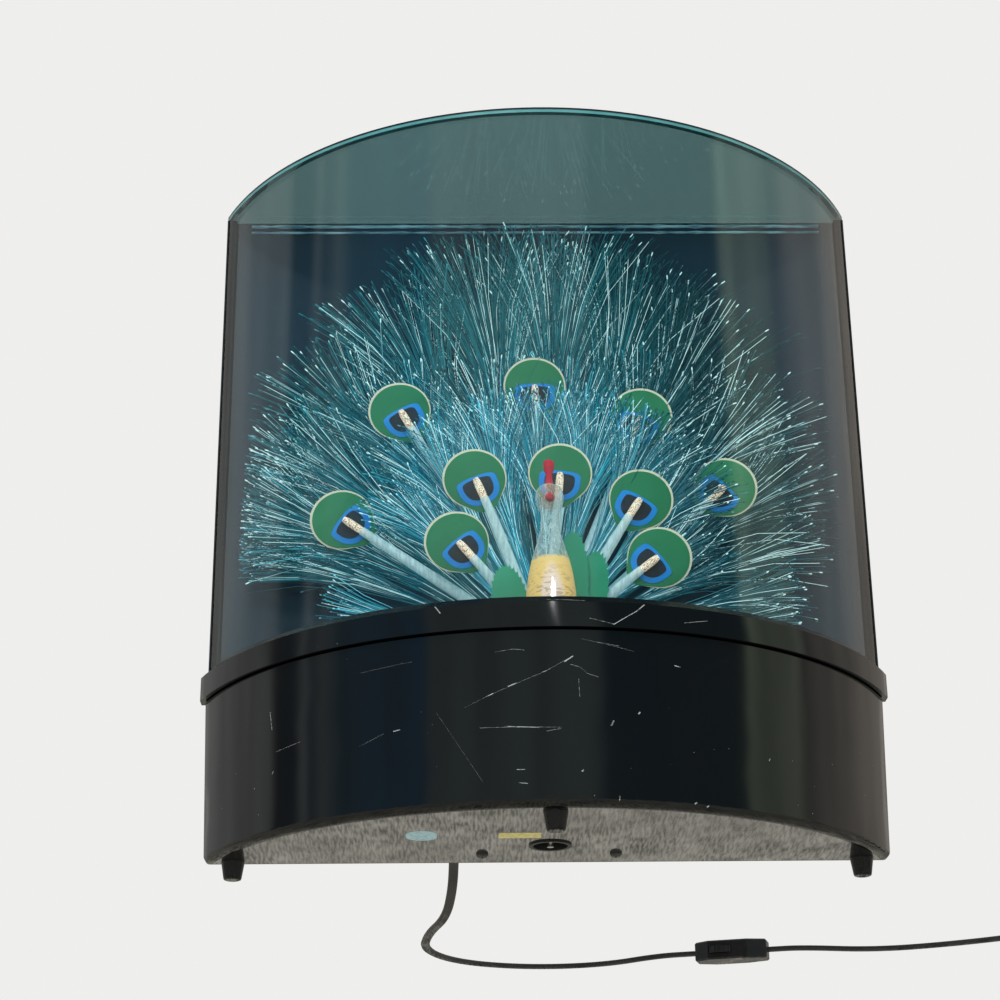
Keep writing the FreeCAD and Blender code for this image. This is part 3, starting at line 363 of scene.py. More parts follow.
def soft_lamp(name, at, aim, width, height, watts):
    """A rectangular lamp that lights the piece and isn't mirrored in its gloss."""
    bpy.ops.object.light_add(type="AREA", location=at)
    lamp = bpy.context.object
    lamp.name = name
    lamp.data.shape = "RECTANGLE"
    lamp.data.size = width
    lamp.data.size_y = height
    lamp.data.energy = watts
    lamp.visible_glossy = False
    lamp.rotation_mode = "QUATERNION"
    lamp.rotation_quaternion = (Vector(aim) - Vector(at)).to_track_quat("-Z", "Y")


soft_lamp("high_front", (-0.7, -1.5, 2.1), (0, 0, 0.2), 1.3, 1.3, 40)
soft_lamp("right_fill", (1.7, -1.0, 0.9), (0, 0, 0.2), 0.9, 0.9, 9)
soft_lamp("low_front", (-0.3, -1.9, 0.45), (0, 0, 0.2), 0.8, 0.8, 10)
bpy.ops.object.light_add(type="POINT", location=(0.06, -1.2, 0.53))
glint = bpy.context.object
glint.name = "glint"
glint.data.shadow_soft_size = 0.012
glint.data.energy = 0.2
bpy.context.scene.view_settings.view_transform = "Standard"


# Base and rim: gloss black mouldings, rubbed and scratched with use. The rim overhangs the base and
# leaves a dark gap; its upper edge slopes in to the foot of the clear cover.

def modify(piece, kind, **settings):
    """Adds a modifier and applies it."""
    only(piece)
    modifier = piece.modifiers.new(kind.title(), kind)
    for name, value in settings.items():
        setattr(modifier, name, value)
    bpy.ops.object.modifier_apply(modifier=modifier.name)
    return piece


def skin(source, name, *finishes, degrees=30.0):
    """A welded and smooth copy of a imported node, shown in its place."""
    mesh = frame["nodes"][source].data.copy()
    piece = bpy.data.objects.new(name, mesh)
    bpy.context.scene.collection.objects.link(piece)
    only(piece)
    bpy.ops.object.mode_set(mode="EDIT")
    bpy.ops.mesh.select_all(action="SELECT")
    bpy.ops.mesh.remove_doubles(threshold=0.000002)
    bpy.ops.object.mode_set(mode="OBJECT")
    bpy.ops.mesh.customdata_custom_splitnormals_clear()
    smooth(piece, degrees)
    modify(piece, "WEIGHTED_NORMAL", keep_sharp=True)
    paint(piece, *finishes)
    body = next(b for b, names in frame["record"]["behaviour"]["bodies"].items() if source in names)
    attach(piece, body)
    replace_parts(piece, source)
    return piece


RIM_SCRATCHES = [
    ((30.0, 100.5), (41.8, 108.1), 0.22), ((41.8, 108.1), (45.5, 111.5), 0.3),
    ((18.1, 103.3), (30.0, 100.6), 0.12), ((-58.5, 112.2), (-56.0, 108.7), 0.3),
    ((-3.0, 113.5), (16.0, 112.6), 0.1), ((66.0, 104.0), (78.0, 106.5), 0.1),
]
BASE_SCRATCHES = [
    ((-28.9, 87.4), (-20.0, 88.6), 0.1), ((-20.0, 88.6), (-14.6, 87.9), 0.1),
    ((-44.3, 59.9), (-31.5, 65.7), 0.05), ((-31.5, 65.7), (-4.5, 76.8), 0.06),
    ((-4.5, 76.8), (9.3, 84.5), 0.07), ((5.3, 81.8), (9.3, 84.5), 0.34),
    ((-5.5, 76.5), (-2.5, 77.8), 0.2), ((-22.6, 69.6), (-18.7, 71.2), 0.28),
    ((-33.1, 65.0), (-30.1, 66.4), 0.28), ((8.3, 80.3), (13.0, 78.9), 0.1),
    ((13.0, 78.9), (16.5, 75.8), 0.12), ((16.5, 75.8), (21.5, 74.2), 0.1),
    ((21.5, 92.0), (32.4, 90.4), 0.08), ((-36.5, 49.4), (3.3, 48.6), 0.1),
    ((-24.0, 49.6), (-8.0, 48.6), 0.22), ((-4.0, 46.8), (3.0, 48.0), 0.1),
    ((-144.2, 75.0), (-142.8, 65.1), 0.14), ((-140.2, 52.9), (-127.2, 54.8), 0.08),
    ((-96.0, 84.0), (-70.0, 86.0), 0.05), ((-57.9, 58.7), (-35.4, 22.7), 0.045),
    ((14.0, 93.5), (40.0, 88.0), 0.04), ((27.5, 50.0), (28.6, 52.0), 0.5),
    ((41.3, 56.5), (41.8, 57.0), 0.4), ((12.7, 27.0), (13.2, 27.4), 0.4),
    ((60.4, 82.3), (63.0, 81.8), 0.3), ((-18.8, 28.0), (-15.2, 27.9), 0.18),
    ((-18.0, 21.5), (-13.8, 21.0), 0.18), ((-79.0, 51.6), (-76.0, 52.0), 0.3),
    ((-96.0, 46.5), (-84.0, 51.0), 0.06), ((68.0, 13.5), (68.6, 14.0), 0.4),
    ((74.0, 12.5), (74.6, 12.9), 0.4), ((30.5, 13.0), (30.7, 15.0), 0.3),
    ((12.0, 73.0), (12.3, 64.0), 0.08), ((-142.0, 42.0), (-141.6, 43.0), 0.3),
    ((108.0, 40.0), (108.4, 40.8), 0.3),
]


def scratch(finish, across, high, start, end, width):
    """1 on a straight scratch between two places on the front, given across and up in millimetres."""
    (x0, z0), (x1, z1) = start, end
    length = math.hypot(x1 - x0, z1 - z0)
    ux, uz = (x1 - x0) / length, (z1 - z0) / length
    along = (across - x0) * ux + (high - z0) * uz
    off = abs((across - x0) * uz - (high - z0) * ux)
    past = abs(along - length / 2) - length / 2
    return off.math("MAXIMUM", past).step(width, width * 0.4)


def gloss_black(name, scratches, height):
    """Polished black plastic: scratches and specks on the front, dust, hairlines and faint waves all over."""
    black = Finish(name, Specular_IOR_Level=0.5)
    x, y, z = black.xyz()
    across, high = x / MM, z / MM
    front = y.step(0.06, 0.05)
    marks = None
    for start, end, width in scratches:
        mark = scratch(black, across, high, start, end, width)
        marks = mark if marks is None else marks.math("MAXIMUM", mark)
    marks = marks * (black.noise(420.0, 3.0).step(0.36, 0.56) * 0.8 + 0.2)
    dust = black.specks(150.0, 0.045) * black.noise(14.0).step(0.5, 0.62)
    hair = black.noise(30.0, 4.0, (1, 1, 14)).step(0.66, 0.72) * black.noise(9.0).step(0.5, 0.6)
    worn = (marks * front).math("MAXIMUM", dust * 0.7)
    tone = black.noise(6.0, 3.0).mix(rgb(0.0015, 0.002, 0.0025), rgb(0.004, 0.005, 0.0055))
    black.feed("Base Color", worn.mix(tone, rgb(0.42, 0.45, 0.44)))
    haze = black.noise(11.0, 4.0).step(0.35, 0.75) * 0.07 + 0.07
    black.feed("Roughness", haze + hair * 0.12 + worn * 0.4)
    black.bump(black.noise(5.0, 1.0) + marks * -0.1, height)
    return black


base_black = gloss_black("base_gloss_black", BASE_SCRATCHES, 0.0006)
rim_black = gloss_black("rim_gloss_black", RIM_SCRATCHES, 0.0004)
skin("base_shell", "base_moulding", base_black)
skin("base_rim", "rim_moulding", rim_black)


# Underside: a flat black sheet with three turned feet, two screws, the cup with the winding key, and two
# blank stickers, a pale blue oval and a yellow strip.

plate_black = Finish("plate_black")
plate_black.feed("Base Color", plate_black.noise(40.0, 4.0).mix(
    rgb(0.012, 0.014, 0.016), rgb(0.03, 0.03, 0.03)))
plate_black.feed("Roughness", plate_black.noise(16.0, 4.0).step(0.3, 0.8) * 0.12 + 0.08)
plate_black.shader.inputs["IOR"].default_value = 1.7
plate_black.shader.inputs["Coat Weight"].default_value = 0.6
skin("bottom_plate", "plate_sheet", plate_black)

foot_black = Finish("foot_black", Roughness=0.1, Specular_IOR_Level=0.35)
foot_black.feed("Base Color", foot_black.noise(220.0).mix(rgb(0.003, 0.004, 0.005), rgb(0.008, 0.009, 0.01)))
foot_black.bump(foot_black.noise(500.0), 0.00005)
for side in ("left", "right", "front"):
    skin("foot_" + side, "foot_turned_" + side, foot_black)


def plated(name, color, roughness, scale=300.0):
    """Plated or bare metal with faint drawn marks."""
    metal = Finish(name, Metallic=1.0)
    dark = tuple(c * 0.78 for c in color)
    metal.feed("Base Color", metal.noise(scale, 3.0, (1, 1, 5)).mix(rgb(*dark), rgb(*color)))
    metal.feed("Roughness", metal.noise(scale * 0.4, 3.0) * 0.15 + (roughness - 0.06))
    return metal


steel = plated("plated_steel", (0.66, 0.67, 0.68), 0.28)
tin = plated("zinc_tin", (0.58, 0.58, 0.55), 0.4, 90.0)
brass = plated("rolled_brass", (0.8, 0.6, 0.3), 0.3)
bright = plated("bright_sheet", (0.86, 0.87, 0.88), 0.16)
dark_steel = plated("blackened_steel", (0.12, 0.12, 0.12), 0.3)
skin("bracket_screws", "plate_screws", dark_steel)
skin("winding_key", "key_butterfly", steel)
cup_black = Finish("cup_black", Roughness=0.45)
cup_black.feed("Base Color", cup_black.noise(300.0).mix(rgb(0.012, 0.012, 0.013), rgb(0.03, 0.03, 0.031)))
skin("key_cup", "key_cup_moulding", cup_black)


def sticker(name, at, half_width, half_depth, corner, finish):
    """A thin blank sticker on the underside: a bevelled plate pressed to the sheet."""
    bpy.ops.object.select_all(action="DESELECT")
    bpy.ops.mesh.primitive_plane_add(size=2.0, location=(at[0] * MM, at[1] * MM, 9.93 * MM))
    piece = bpy.context.object
    piece.name = piece.data.name = name
    piece.scale = (half_width * MM, half_depth * MM, 1)
    bpy.ops.object.transform_apply(location=True, rotation=False, scale=True)
    bpy.ops.object.mode_set(mode="EDIT")
    bpy.ops.mesh.select_all(action="SELECT")
    bpy.ops.mesh.bevel(offset=corner * MM, segments=8, affect="VERTICES")
    bpy.ops.mesh.select_all(action="SELECT")
    bpy.ops.mesh.extrude_region_move(TRANSFORM_OT_translate={"value": (0, 0, 0.06 * MM)})
    bpy.ops.mesh.select_all(action="SELECT")
    bpy.ops.mesh.normals_make_consistent(inside=False)
    bpy.ops.object.mode_set(mode="OBJECT")
    paint(piece, finish)
    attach(piece, "base")


def sticker_paper(name, color):
    paper = Finish(name, Roughness=0.6)
    rubbed = tuple(c * 0.7 for c in color)
    paper_color = paper.noise(420.0, 5.0).step(0.3, 0.7).mix(rgb(*rubbed), rgb(*color))
    # The paper colour is also given off as a faint light: painted glow on the underside.
    paper.feed("Base Color", paper_color).feed("Emission Color", paper_color)
    paper.shader.inputs["Emission Strength"].default_value = 0.12
    return paper


sticker("sticker_oval", (-66, 0), 7.8, 10.5, 7.7, sticker_paper("sticker_blue", (0.55, 0.85, 0.95)))
sticker("sticker_strip", (-16.2, 0.5), 10.8, 5.6, 0.5, sticker_paper("sticker_yellow", (0.95, 0.85, 0.35)))


# Inside the base: a sheet bridge carries the bulb, its reflector and the motor of the colour wheel, over
# the wound movement. The wheel turns four tinted films between the bulb and the end of the fibre bundle.

skin("light_bracket", "bracket_sheet", tin)
skin("reflector", "reflector_trough", bright)
skin("bulb_cap", "bulb_screw_cap", brass)
skin("wheel_shaft", "wheel_hub", steel)
skin("music_movement", "movement_case", tin)
glaze = Finish("socket_glaze", Roughness=0.25)
glaze.feed("Base Color", glaze.noise(200.0).mix(rgb(0.8, 0.78, 0.72), rgb(0.88, 0.87, 0.84)))
skin("lamp_socket", "socket_ceramic", glaze)
can_grey = Finish("motor_grey", Roughness=0.35, Metallic=0.4)
can_grey.feed("Base Color", can_grey.noise(160.0, 4.0).mix(rgb(0.2, 0.22, 0.24), rgb(0.3, 0.32, 0.34)))
skin("wheel_motor", "motor_can", can_grey)
disc_white = Finish("wheel_white", Roughness=0.5)
disc_white.feed("Base Color", disc_white.noise(140.0).mix(rgb(0.72, 0.72, 0.69), rgb(0.84, 0.84, 0.82)))
skin("color_wheel", "wheel_disc", disc_white)
insulation = Finish("lead_white", Roughness=0.5)
insulation.feed("Base Color", insulation.noise(500.0).mix(rgb(0.62, 0.62, 0.58), rgb(0.78, 0.77, 0.73)))
skin("inner_leads", "lamp_leads", insulation)
cap_orange = Finish("cap_orange", Roughness=0.45)
cap_orange.feed("Base Color", cap_orange.noise(240.0).mix(rgb(0.62, 0.2, 0.03), rgb(0.78, 0.3, 0.06)))
skin("wire_cap", "joint_cap", cap_orange)


def see_through(name, tint, haze, roughness=0.05):
    """A clear sheet: light passes with a tint, the surface mirrors as glass does, and haze dulls it."""
    sheet = Finish(name, Roughness=0.5)
    passing = sheet.node("ShaderNodeBsdfTransparent", None, {"Color": rgb(*tint)})
    dulled = sheet.node("ShaderNodeMixShader", None, [haze, passing, Signal(sheet.shader.outputs[0])])
    mirror = sheet.node("ShaderNodeBsdfAnisotropic", None, {"Roughness": roughness})
    facing = sheet.node("ShaderNodeLayerWeight", None, {"Blend": 0.5}, output=1)
    shine = facing.math("POWER", 5.0) * 0.9 + 0.045
    return sheet.end_with(sheet.node("ShaderNodeMixShader", None, [shine, dulled, mirror]))


bulb_clear = see_through("bulb_clear", (0.97, 0.97, 0.95), 0.03)
skin("bulb_glass", "bulb_envelope", bulb_clear)
film = see_through("filter_film", (0.4, 0.8, 0.9), 0.2)
wheel_x, wheel_y = -40.0 * MM, 6.0 * MM
film_x, film_y = film.xyz()[:2]
quarter = (film_x - wheel_x).step(-0.0001, 0.0001) * 0.5 + (film_y - wheel_y).step(-0.0001, 0.0001) * 0.25
film_tints = [(0.0, rgb(0.1, 0.45, 0.9)), (0.25, rgb(0.1, 0.75, 0.35)), (0.5, rgb(0.9, 0.2, 0.5)),
              (0.75, rgb(0.95, 0.75, 0.15))]
quarter_tint = film.node("ShaderNodeValToRGB", {"stops": film_tints}, [quarter])
quarter_tint.socket.node.color_ramp.interpolation = "CONSTANT"
film.feed("Base Color", quarter_tint)
skin("color_filters", "filter_films", film)


# Display case: a clear sheet bent to the bow with teal edges, a teal-grey top sheet, a gloss navy back
# panel and black corner strips, cemented together; a bead of cement shows pale blue along the back.

cover_clear = see_through("cover_clear", (0.93, 0.97, 0.975), 0.0, 0.03)
edge_teal = Finish("sheet_edge_teal", Roughness=0.2)
edge_height = edge_teal.xyz()[2] / MM
lit_edge = edge_teal.noise(60.0, 3.0).mix(rgb(0.03, 0.16, 0.17), rgb(0.14, 0.4, 0.42))
edge_teal.feed("Base Color", edge_height.step(398.2, 399.2).mix(lit_edge, rgb(0.008, 0.014, 0.014)))
top_smoke = see_through("top_smoke", (0.36, 0.47, 0.47), 0.14, 0.06)
top_smoke.feed("Base Color", top_smoke.noise(5.0, 3.0).mix(rgb(0.12, 0.3, 0.33), rgb(0.22, 0.44, 0.47)))

cover = skin("front_cover", "cover_sheet", cover_clear, edge_teal)
for face in cover.data.polygons:
    at_back = face.normal.y > 0.9 and face.center.y > 50 * MM
    face.material_index = 1 if abs(face.normal.z) > 0.7 or at_back else 0
top = skin("top_plate", "top_sheet", top_smoke, edge_teal)
for face in top.data.polygons:
    face.material_index = 1 if abs(face.normal.z) < 0.5 else 0

panel = Finish("panel_navy")
panel.feed("Base Color", panel.noise(3.0, 2.0).mix(rgb(0.005, 0.02, 0.036), rgb(0.014, 0.05, 0.085)))
panel.feed("Roughness", panel.noise(9.0, 4.0) * 0.1 + 0.06)
panel.bump(panel.noise(4.0, 1.0), 0.0012)
skin("back_panel", "panel_sheet", panel)
strip_black = Finish("strip_black", Roughness=0.25)
strip_black.feed("Base Color", strip_black.noise(120.0).mix(rgb(0.008, 0.01, 0.011), rgb(0.02, 0.022, 0.024)))
skin("edge_strip_left", "corner_strip_left", strip_black)
skin("edge_strip_right", "corner_strip_right", strip_black)
deck_black = Finish("deck_black", Roughness=0.5)
deck_black.feed("Base Color", deck_black.noise(80.0, 4.0).mix(
    rgb(0.01, 0.012, 0.014), rgb(0.03, 0.032, 0.035)))
skin("display_deck", "deck_sheet", deck_black)


def round_bar(name, line, radii):
    """A round bar along a line, with a radius in millimetres at each of its points."""
    bar = bpy.data.curves.new(name, "CURVE")
    bar.dimensions = "3D"
    bar.bevel_depth = MM
    bar.bevel_resolution = 5
    bar.use_fill_caps = True
    spline = bar.splines.new("POLY")
    spline.points.add(len(line) - 1)
    for point, place, radius in zip(spline.points, line, radii):
        point.co = (*place, 1.0)
        point.radius = radius
    holder = bpy.data.objects.new(name, bar)
    bpy.context.scene.collection.objects.link(holder)
    only(holder)
    bpy.ops.object.convert(target="MESH")
    return outward(bpy.context.object)


cement = Finish("cement_blue", Roughness=0.2)
cement.feed("Base Color", cement.noise(70.0, 4.0, (1, 8, 8)).step(0.3, 0.7).mix(
    rgb(0.06, 0.2, 0.3), rgb(0.42, 0.76, 0.92)))
back_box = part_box("back_panel")
for name, drop, thick in (("cement_bead", 1.4, 1.3), ("cement_bead_low", 5.4, 1.0)):
    bead_y = back_box[0].y - thick * 0.6 * MM
    bead_z = back_box[1].z - drop * MM
    reach = back_box[1].x - 14 * MM
    line = [Vector((-reach + 2 * reach * k / 60, bead_y, bead_z)) for k in range(61)]
    swell = [thick * (0.75 + 0.25 * math.sin(k * 2.3) * math.sin(k * 0.7)) for k in range(61)]
    bead = round_bar(name, line, swell)
    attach(smooth(paint(bead, cement)), "display")


# Fibres: several thousand fine plastic fibres leave the bundle as grey-green stalks, spread into sprays
# in three depths, and end in bright cut tips. Front sprays are pale teal; those behind are darker copies of
# the same fibre, painted shade for their depth, and all of them give off their colour as a painted glow.

ROOT = Vector((0, 16, 112)) * MM
COVER_ARC_R = 197.5 * MM
COVER_ARC_Y = 138.5 * MM
FIBER_R = 0.155 * MM
PLACES = [0.0, 0.24, 0.46, 0.66, 0.84, 0.988, 0.993, 1.0]
SWELL = [1.0, 1.0, 1.0, 1.0, 1.0, 1.0, 2.5, 2.2]
DENSITY = 1.35
# Each spray: middle direction in degrees from +X, reach and spread of its tips, depth of its tips, count
FRONT_SPRAYS = [
    (91, 150, 11, 9, 190), (105, 148, 10, 7, 180), (77, 150, 10, 7, 180), (119, 144, 9, 6, 150),
    (64, 148, 9, 5, 160), (131, 128, 7, 8, 120), (52, 140, 8, 7, 100), (40, 112, 7, 10, 70),
    (30, 120, 6, 14, 50), (167, 122, 5, 12, 80), (9, 134, 4, 8, 60), (18, 142, 5, 14, 60),
]
MIDDLE_SPRAYS = [
    (145, 194, 9, 34, 330), (153, 190, 4, 38, 170), (134, 200, 6, 30, 120), (119, 190, 9, 27, 130),
    (101, 180, 9, 26, 120), (83, 180, 9, 26, 120), (67, 192, 9, 26, 130), (53, 200, 8, 28, 120),
    (40, 188, 7, 30, 100), (30, 168, 5, 33, 60), (11, 136, 4, 26, 40),
]
REAR_SPRAYS = [
    (124, 236, 7, 48, 170), (110, 252, 8, 50, 200), (98, 270, 8, 52, 280), (87, 272, 8, 52, 280),
    (76, 262, 8, 52, 230), (66, 250, 7, 50, 160), (54, 226, 7, 50, 130), (42, 204, 7, 48, 90),
    (31, 180, 6, 46, 60), (136, 214, 5, 46, 120), (146, 204, 4, 46, 70), (20, 144, 5, 44, 40),
]
SIDE_ROOM = 168 * MM


def room_at(x):
    """The nearest depth behind the bent cover at a place across."""
    across = min(abs(x), 174 * MM)
    return COVER_ARC_Y - math.sqrt(COVER_ARC_R ** 2 - across ** 2) + 2.5 * MM


def one_fiber(draw, spray, root_y):
    """The points of one fibre: it leaves with its stalk, then opens towards its own direction."""
    middle, reach, spread, tip_y, _ = spray
    away = spread * draw.choice((-1.15, -0.55, 0.05, 0.6, 1.1)) + draw.gauss(0, spread * 0.16)
    length = reach * MM * min(1.06, 1.0 - abs(draw.gauss(0, 0.11)) + 0.03)
    lean = draw.gauss(0, 2.2) + (middle - 90) * 0.05
    last = abs(math.cos(math.radians(middle + away + lean)))
    length = min(length, (SIDE_ROOM - abs(draw.gauss(0, 6)) * MM) / max(last, 0.2))
    start_x, start_y = draw.gauss(0, 1.8) * MM, root_y * MM + draw.gauss(0, 1.8) * MM
    tip_depth = max(tip_y * MM + draw.gauss(0, 2.6) * MM, room_at(length * last) + 1 * MM)
    for share in PLACES:
        angle = math.radians(middle + away * share ** 3.0 + lean * share * share)
        x = ROOT.x + start_x * (1 - share) + length * share * math.cos(angle)
        y = start_y + (tip_depth - start_y) * share ** 0.8
        z = ROOT.z + length * share * math.sin(angle)
        yield Vector((x, min(max(y, room_at(x)), 61.5 * MM), z))


def spray_layer(name, sprays, root_y, finish, seed, *nodes):
    """One depth of sprays as a single mesh of many round strands, with tone and along stored on it."""
    draw = random.Random(seed)
    strands = bpy.data.curves.new(name, "CURVE")
    strands.dimensions = "3D"
    strands.bevel_depth = FIBER_R
    strands.bevel_resolution = 0
    strands.use_fill_caps = True
    tones = []
    for spray in sprays:
        for _ in range(int(spray[4] * DENSITY)):
            spline = strands.splines.new("POLY")
            spline.points.add(len(PLACES) - 1)
            for point, place, swell in zip(spline.points, one_fiber(draw, spray, root_y), SWELL):
                point.co = (*place, 1.0)
                point.radius = swell
            tones.append(draw.random())
    holder = bpy.data.objects.new(name, strands)
    bpy.context.scene.collection.objects.link(holder)
    only(holder)
    bpy.ops.object.convert(target="MESH")
    piece = bpy.context.object
    per_strand = len(piece.data.vertices) // len(tones)
    ring = per_strand // len(PLACES)
    tone = piece.data.attributes.new("tone", "FLOAT", "POINT")
    tone.data.foreach_set("value", [t for t in tones for _ in range(per_strand)])
    along = piece.data.attributes.new("along", "FLOAT", "POINT")
    one = [PLACES[min(k // ring, len(PLACES) - 1)] for k in range(per_strand)]
    along.data.foreach_set("value", one * len(tones))
    paint(piece, finish)
    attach(piece, "display")
    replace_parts(piece, *nodes)
    return piece


def fiber_finish(name, stalk, dark, light, bright, glow, roughness):
    """Plastic fibre: stalk colour at the root, one of three tones along the strand, and a bright cut tip;
    painted shade darkens it towards the right, and its colour is also given off as a painted glow.
    """
    fiber = Finish(name, Roughness=roughness)
    tone = fiber.attribute("tone")
    along = fiber.attribute("along")
    strand = tone.step(0.84, 0.97).mix(tone.step(0.3, 0.95).mix(rgb(*dark), rgb(*light)), rgb(*bright))
    body = along.step(0.1, 0.6).mix(rgb(*stalk), strand)
    tip = along.step(0.988, 0.992) * tone.step(0.45, 0.6)
    # Painted shade: the fibres are darker towards the right.
    shaded = (fiber.xyz()[0] / MM).step(10, 100) * 0.72
    fiber_color = (shaded * (1 - tip)).mix(tip.mix(body, rgb(0.7, 0.97, 0.97)), rgb(0.004, 0.02, 0.024))
    # The fibre colour, bright tips too, is also given off as light: a painted glow.
    fiber.feed("Base Color", fiber_color).feed("Emission Color", fiber_color)
    fiber.shader.inputs["Emission Strength"].default_value = glow
    return fiber


# The middle and rear sprays are darker copies of the front fibre: painted shade for their depth in the case.
front_fibers = fiber_finish(
    "fiber_front", (0.1, 0.3, 0.34), (0.003, 0.08, 0.12), (0.01, 0.34, 0.47), (0.18, 0.75, 0.92), 0.55, 0.45)
middle_fibers = fiber_finish(
    "fiber_middle", (0.04, 0.17, 0.2), (0.002, 0.045, 0.06), (0.006, 0.2, 0.26), (0.1, 0.55, 0.68), 0.45, 0.5)
rear_fibers = fiber_finish(
    "fiber_rear", (0.02, 0.14, 0.16), (0.002, 0.06, 0.075), (0.01, 0.2, 0.24), (0.05, 0.36, 0.42), 0.5, 0.6)
for fibers in (front_fibers, middle_fibers, rear_fibers):
    fibers.shader.inputs["Specular IOR Level"].default_value = 0.18
spray_layer("fibers_front", FRONT_SPRAYS, 12, front_fibers, 11, "sprays_front")
spray_layer("fibers_middle", MIDDLE_SPRAYS, 18, middle_fibers, 12, "sprays_middle")
spray_layer("fibers_rear", REAR_SPRAYS, 22, rear_fibers, 13, "sprays_rear")
gathered = Finish("fiber_gathered", Roughness=0.35)
gathered.feed("Base Color", gathered.noise(900.0, 2.0).mix(rgb(0.2, 0.34, 0.34), rgb(0.5, 0.62, 0.6)))
skin("fiber_bundle", "bundle_gathered", gathered)
sleeve_white = Finish("ferrule_white", Roughness=0.4)
sleeve_white.feed("Base Color", sleeve_white.noise(200.0).mix(rgb(0.66, 0.66, 0.63), rgb(0.78, 0.78, 0.75)))
skin("fiber_ferrule", "ferrule_sleeve", sleeve_white)


# Feather eyes: ten egg-shaped green cards with a cream edge. Each has a raised blue ring, flat on its outer
# side, round a black centre, and the cut end of a sleeved fibre bundle that lies across it.

EYES = [
    (-108.0, 188.0, True), (-37.0, 203.0, False), (-46.0, 167.0, False), (8.0, 206.0, False),
    (50.0, 191.0, False), (58.0, 158.0, False), (-4.0, 267.0, True), (-78.0, 252.0, True),
    (54.0, 248.0, True), (98.0, 206.0, True),
]
FRONT_ROW_Y = 0.0
BACK_ROW_Y = 19.0
RING_HALF = 11.3
RING_BAND = 3.1
EYE_DROP = -1.9

card_green = Finish("card_green", Roughness=0.45)
card_green.feed("Base Color", card_green.noise(60.0, 3.0).mix(rgb(0.015, 0.17, 0.07), rgb(0.03, 0.25, 0.11)))
card_green.bump(card_green.noise(700.0, 3.0), 0.00005)
card_cream = Finish("card_cream", Roughness=0.5)
card_cream.feed("Base Color", card_cream.noise(200.0, 3.0).mix(rgb(0.62, 0.6, 0.42), rgb(0.82, 0.8, 0.62)))
ring_blue = Finish("ring_blue", Roughness=0.4)
ring_blue.feed("Base Color", ring_blue.noise(120.0).mix(rgb(0.005, 0.2, 0.62), rgb(0.02, 0.3, 0.78)))
pupil_black = Finish("pupil_black", Roughness=0.5)
pupil_black.feed("Base Color", pupil_black.noise(150.0).mix(
    rgb(0.012, 0.016, 0.022), rgb(0.035, 0.045, 0.055)))


def egg(big, small, span, lift, count=40):
    """An egg outline, blunt end up, from two circles a span apart and the lines that touch both."""
    lean = math.asin((big - small) / span)
    points = []
    for k in range(count):
        a = -lean + (math.pi + 2 * lean) * k / (count - 1)
        points.append((big * math.cos(a), big * math.sin(a) + lift))
    for k in range(count // 2):
        a = math.pi + lean + (math.pi - 2 * lean) * k / (count // 2 - 1)
        points.append((small * math.cos(a), small * math.sin(a) - span + lift))
    return points


def flat_sided(half, drop, count=48):
    """A round shape whose upper side is nearly flat."""
    points = []
    for k in range(count):
        a = 2 * math.pi * k / count
        high = math.sin(a)
        rise = 0.52 * half * abs(high) ** 0.42 if high > 0 else -half * abs(high) ** 0.92
        points.append((half * abs(math.cos(a)) ** 0.8 * math.copysign(1, math.cos(a)), rise + drop))
    return points


def plaque(name, outline, front, thick, finish, soften=0.12):
    """A flat plate from an outline in the upright plane, its visible edge slightly rounded."""
    bpy.ops.object.select_all(action="DESELECT")
    bpy.ops.mesh.primitive_circle_add(vertices=len(outline), radius=10 * MM, fill_type="NGON")
    piece = bpy.context.object
    piece.name = piece.data.name = name
    for vertex, (x, z) in zip(piece.data.vertices, outline):
        vertex.co = Vector((x, front, z)) * MM
    bpy.ops.object.mode_set(mode="EDIT")
    bpy.ops.mesh.select_all(action="SELECT")
    bpy.ops.mesh.extrude_region_move(TRANSFORM_OT_translate={"value": (0, thick * MM, 0)})
    bpy.ops.object.mode_set(mode="OBJECT")
    outward(piece)
    modify(piece, "BEVEL", width=soften * MM, segments=2, limit_method="ANGLE")
    paint(piece, finish)
    return smooth(piece, 35)


def eye_piece(number, at, lean, row_y):
    """One eye, made upright at the origin, then leaned out along its feather and set in its row."""
    name = f"eye_{number:02d}"
    pieces = [
        plaque(name + "_cream", egg(17.4, 9.2, 11.2, 3.0), 0.35, 0.4, card_cream, 0.05),
        plaque(name + "_green", egg(16.5, 9.0, 11.0, 2.5), 0.0, 0.36, card_green),
        plaque(name + "_ring", flat_sided(RING_HALF, EYE_DROP), -0.3, 0.28, ring_blue),
        plaque(name + "_pupil", flat_sided(RING_HALF - RING_BAND, EYE_DROP - 0.1), -0.52, 0.2, pupil_black),
    ]
    only(pieces[0])
    for piece in pieces:
        piece.select_set(True)
    bpy.ops.object.join()
    eye = bpy.context.object
    eye.name = eye.data.name = name
    only(eye)
    eye.rotation_euler = (0, lean, 0)
    eye.location = Vector((at[0], row_y, at[1])) * MM
    bpy.ops.object.transform_apply(location=True, rotation=True, scale=True)
    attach(eye, "display")
    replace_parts(eye, f"eye_card_{number:02d}")
    return eye


sleeve_clear = Finish("sleeve_clear", Roughness=0.3)
sleeve_clear.feed("Base Color", sleeve_clear.noise(500.0, 2.0).mix(
    rgb(0.5, 0.74, 0.77), rgb(0.84, 0.95, 0.96)))
sleeve_clear.shader.inputs["Coat Weight"].default_value = 0.4
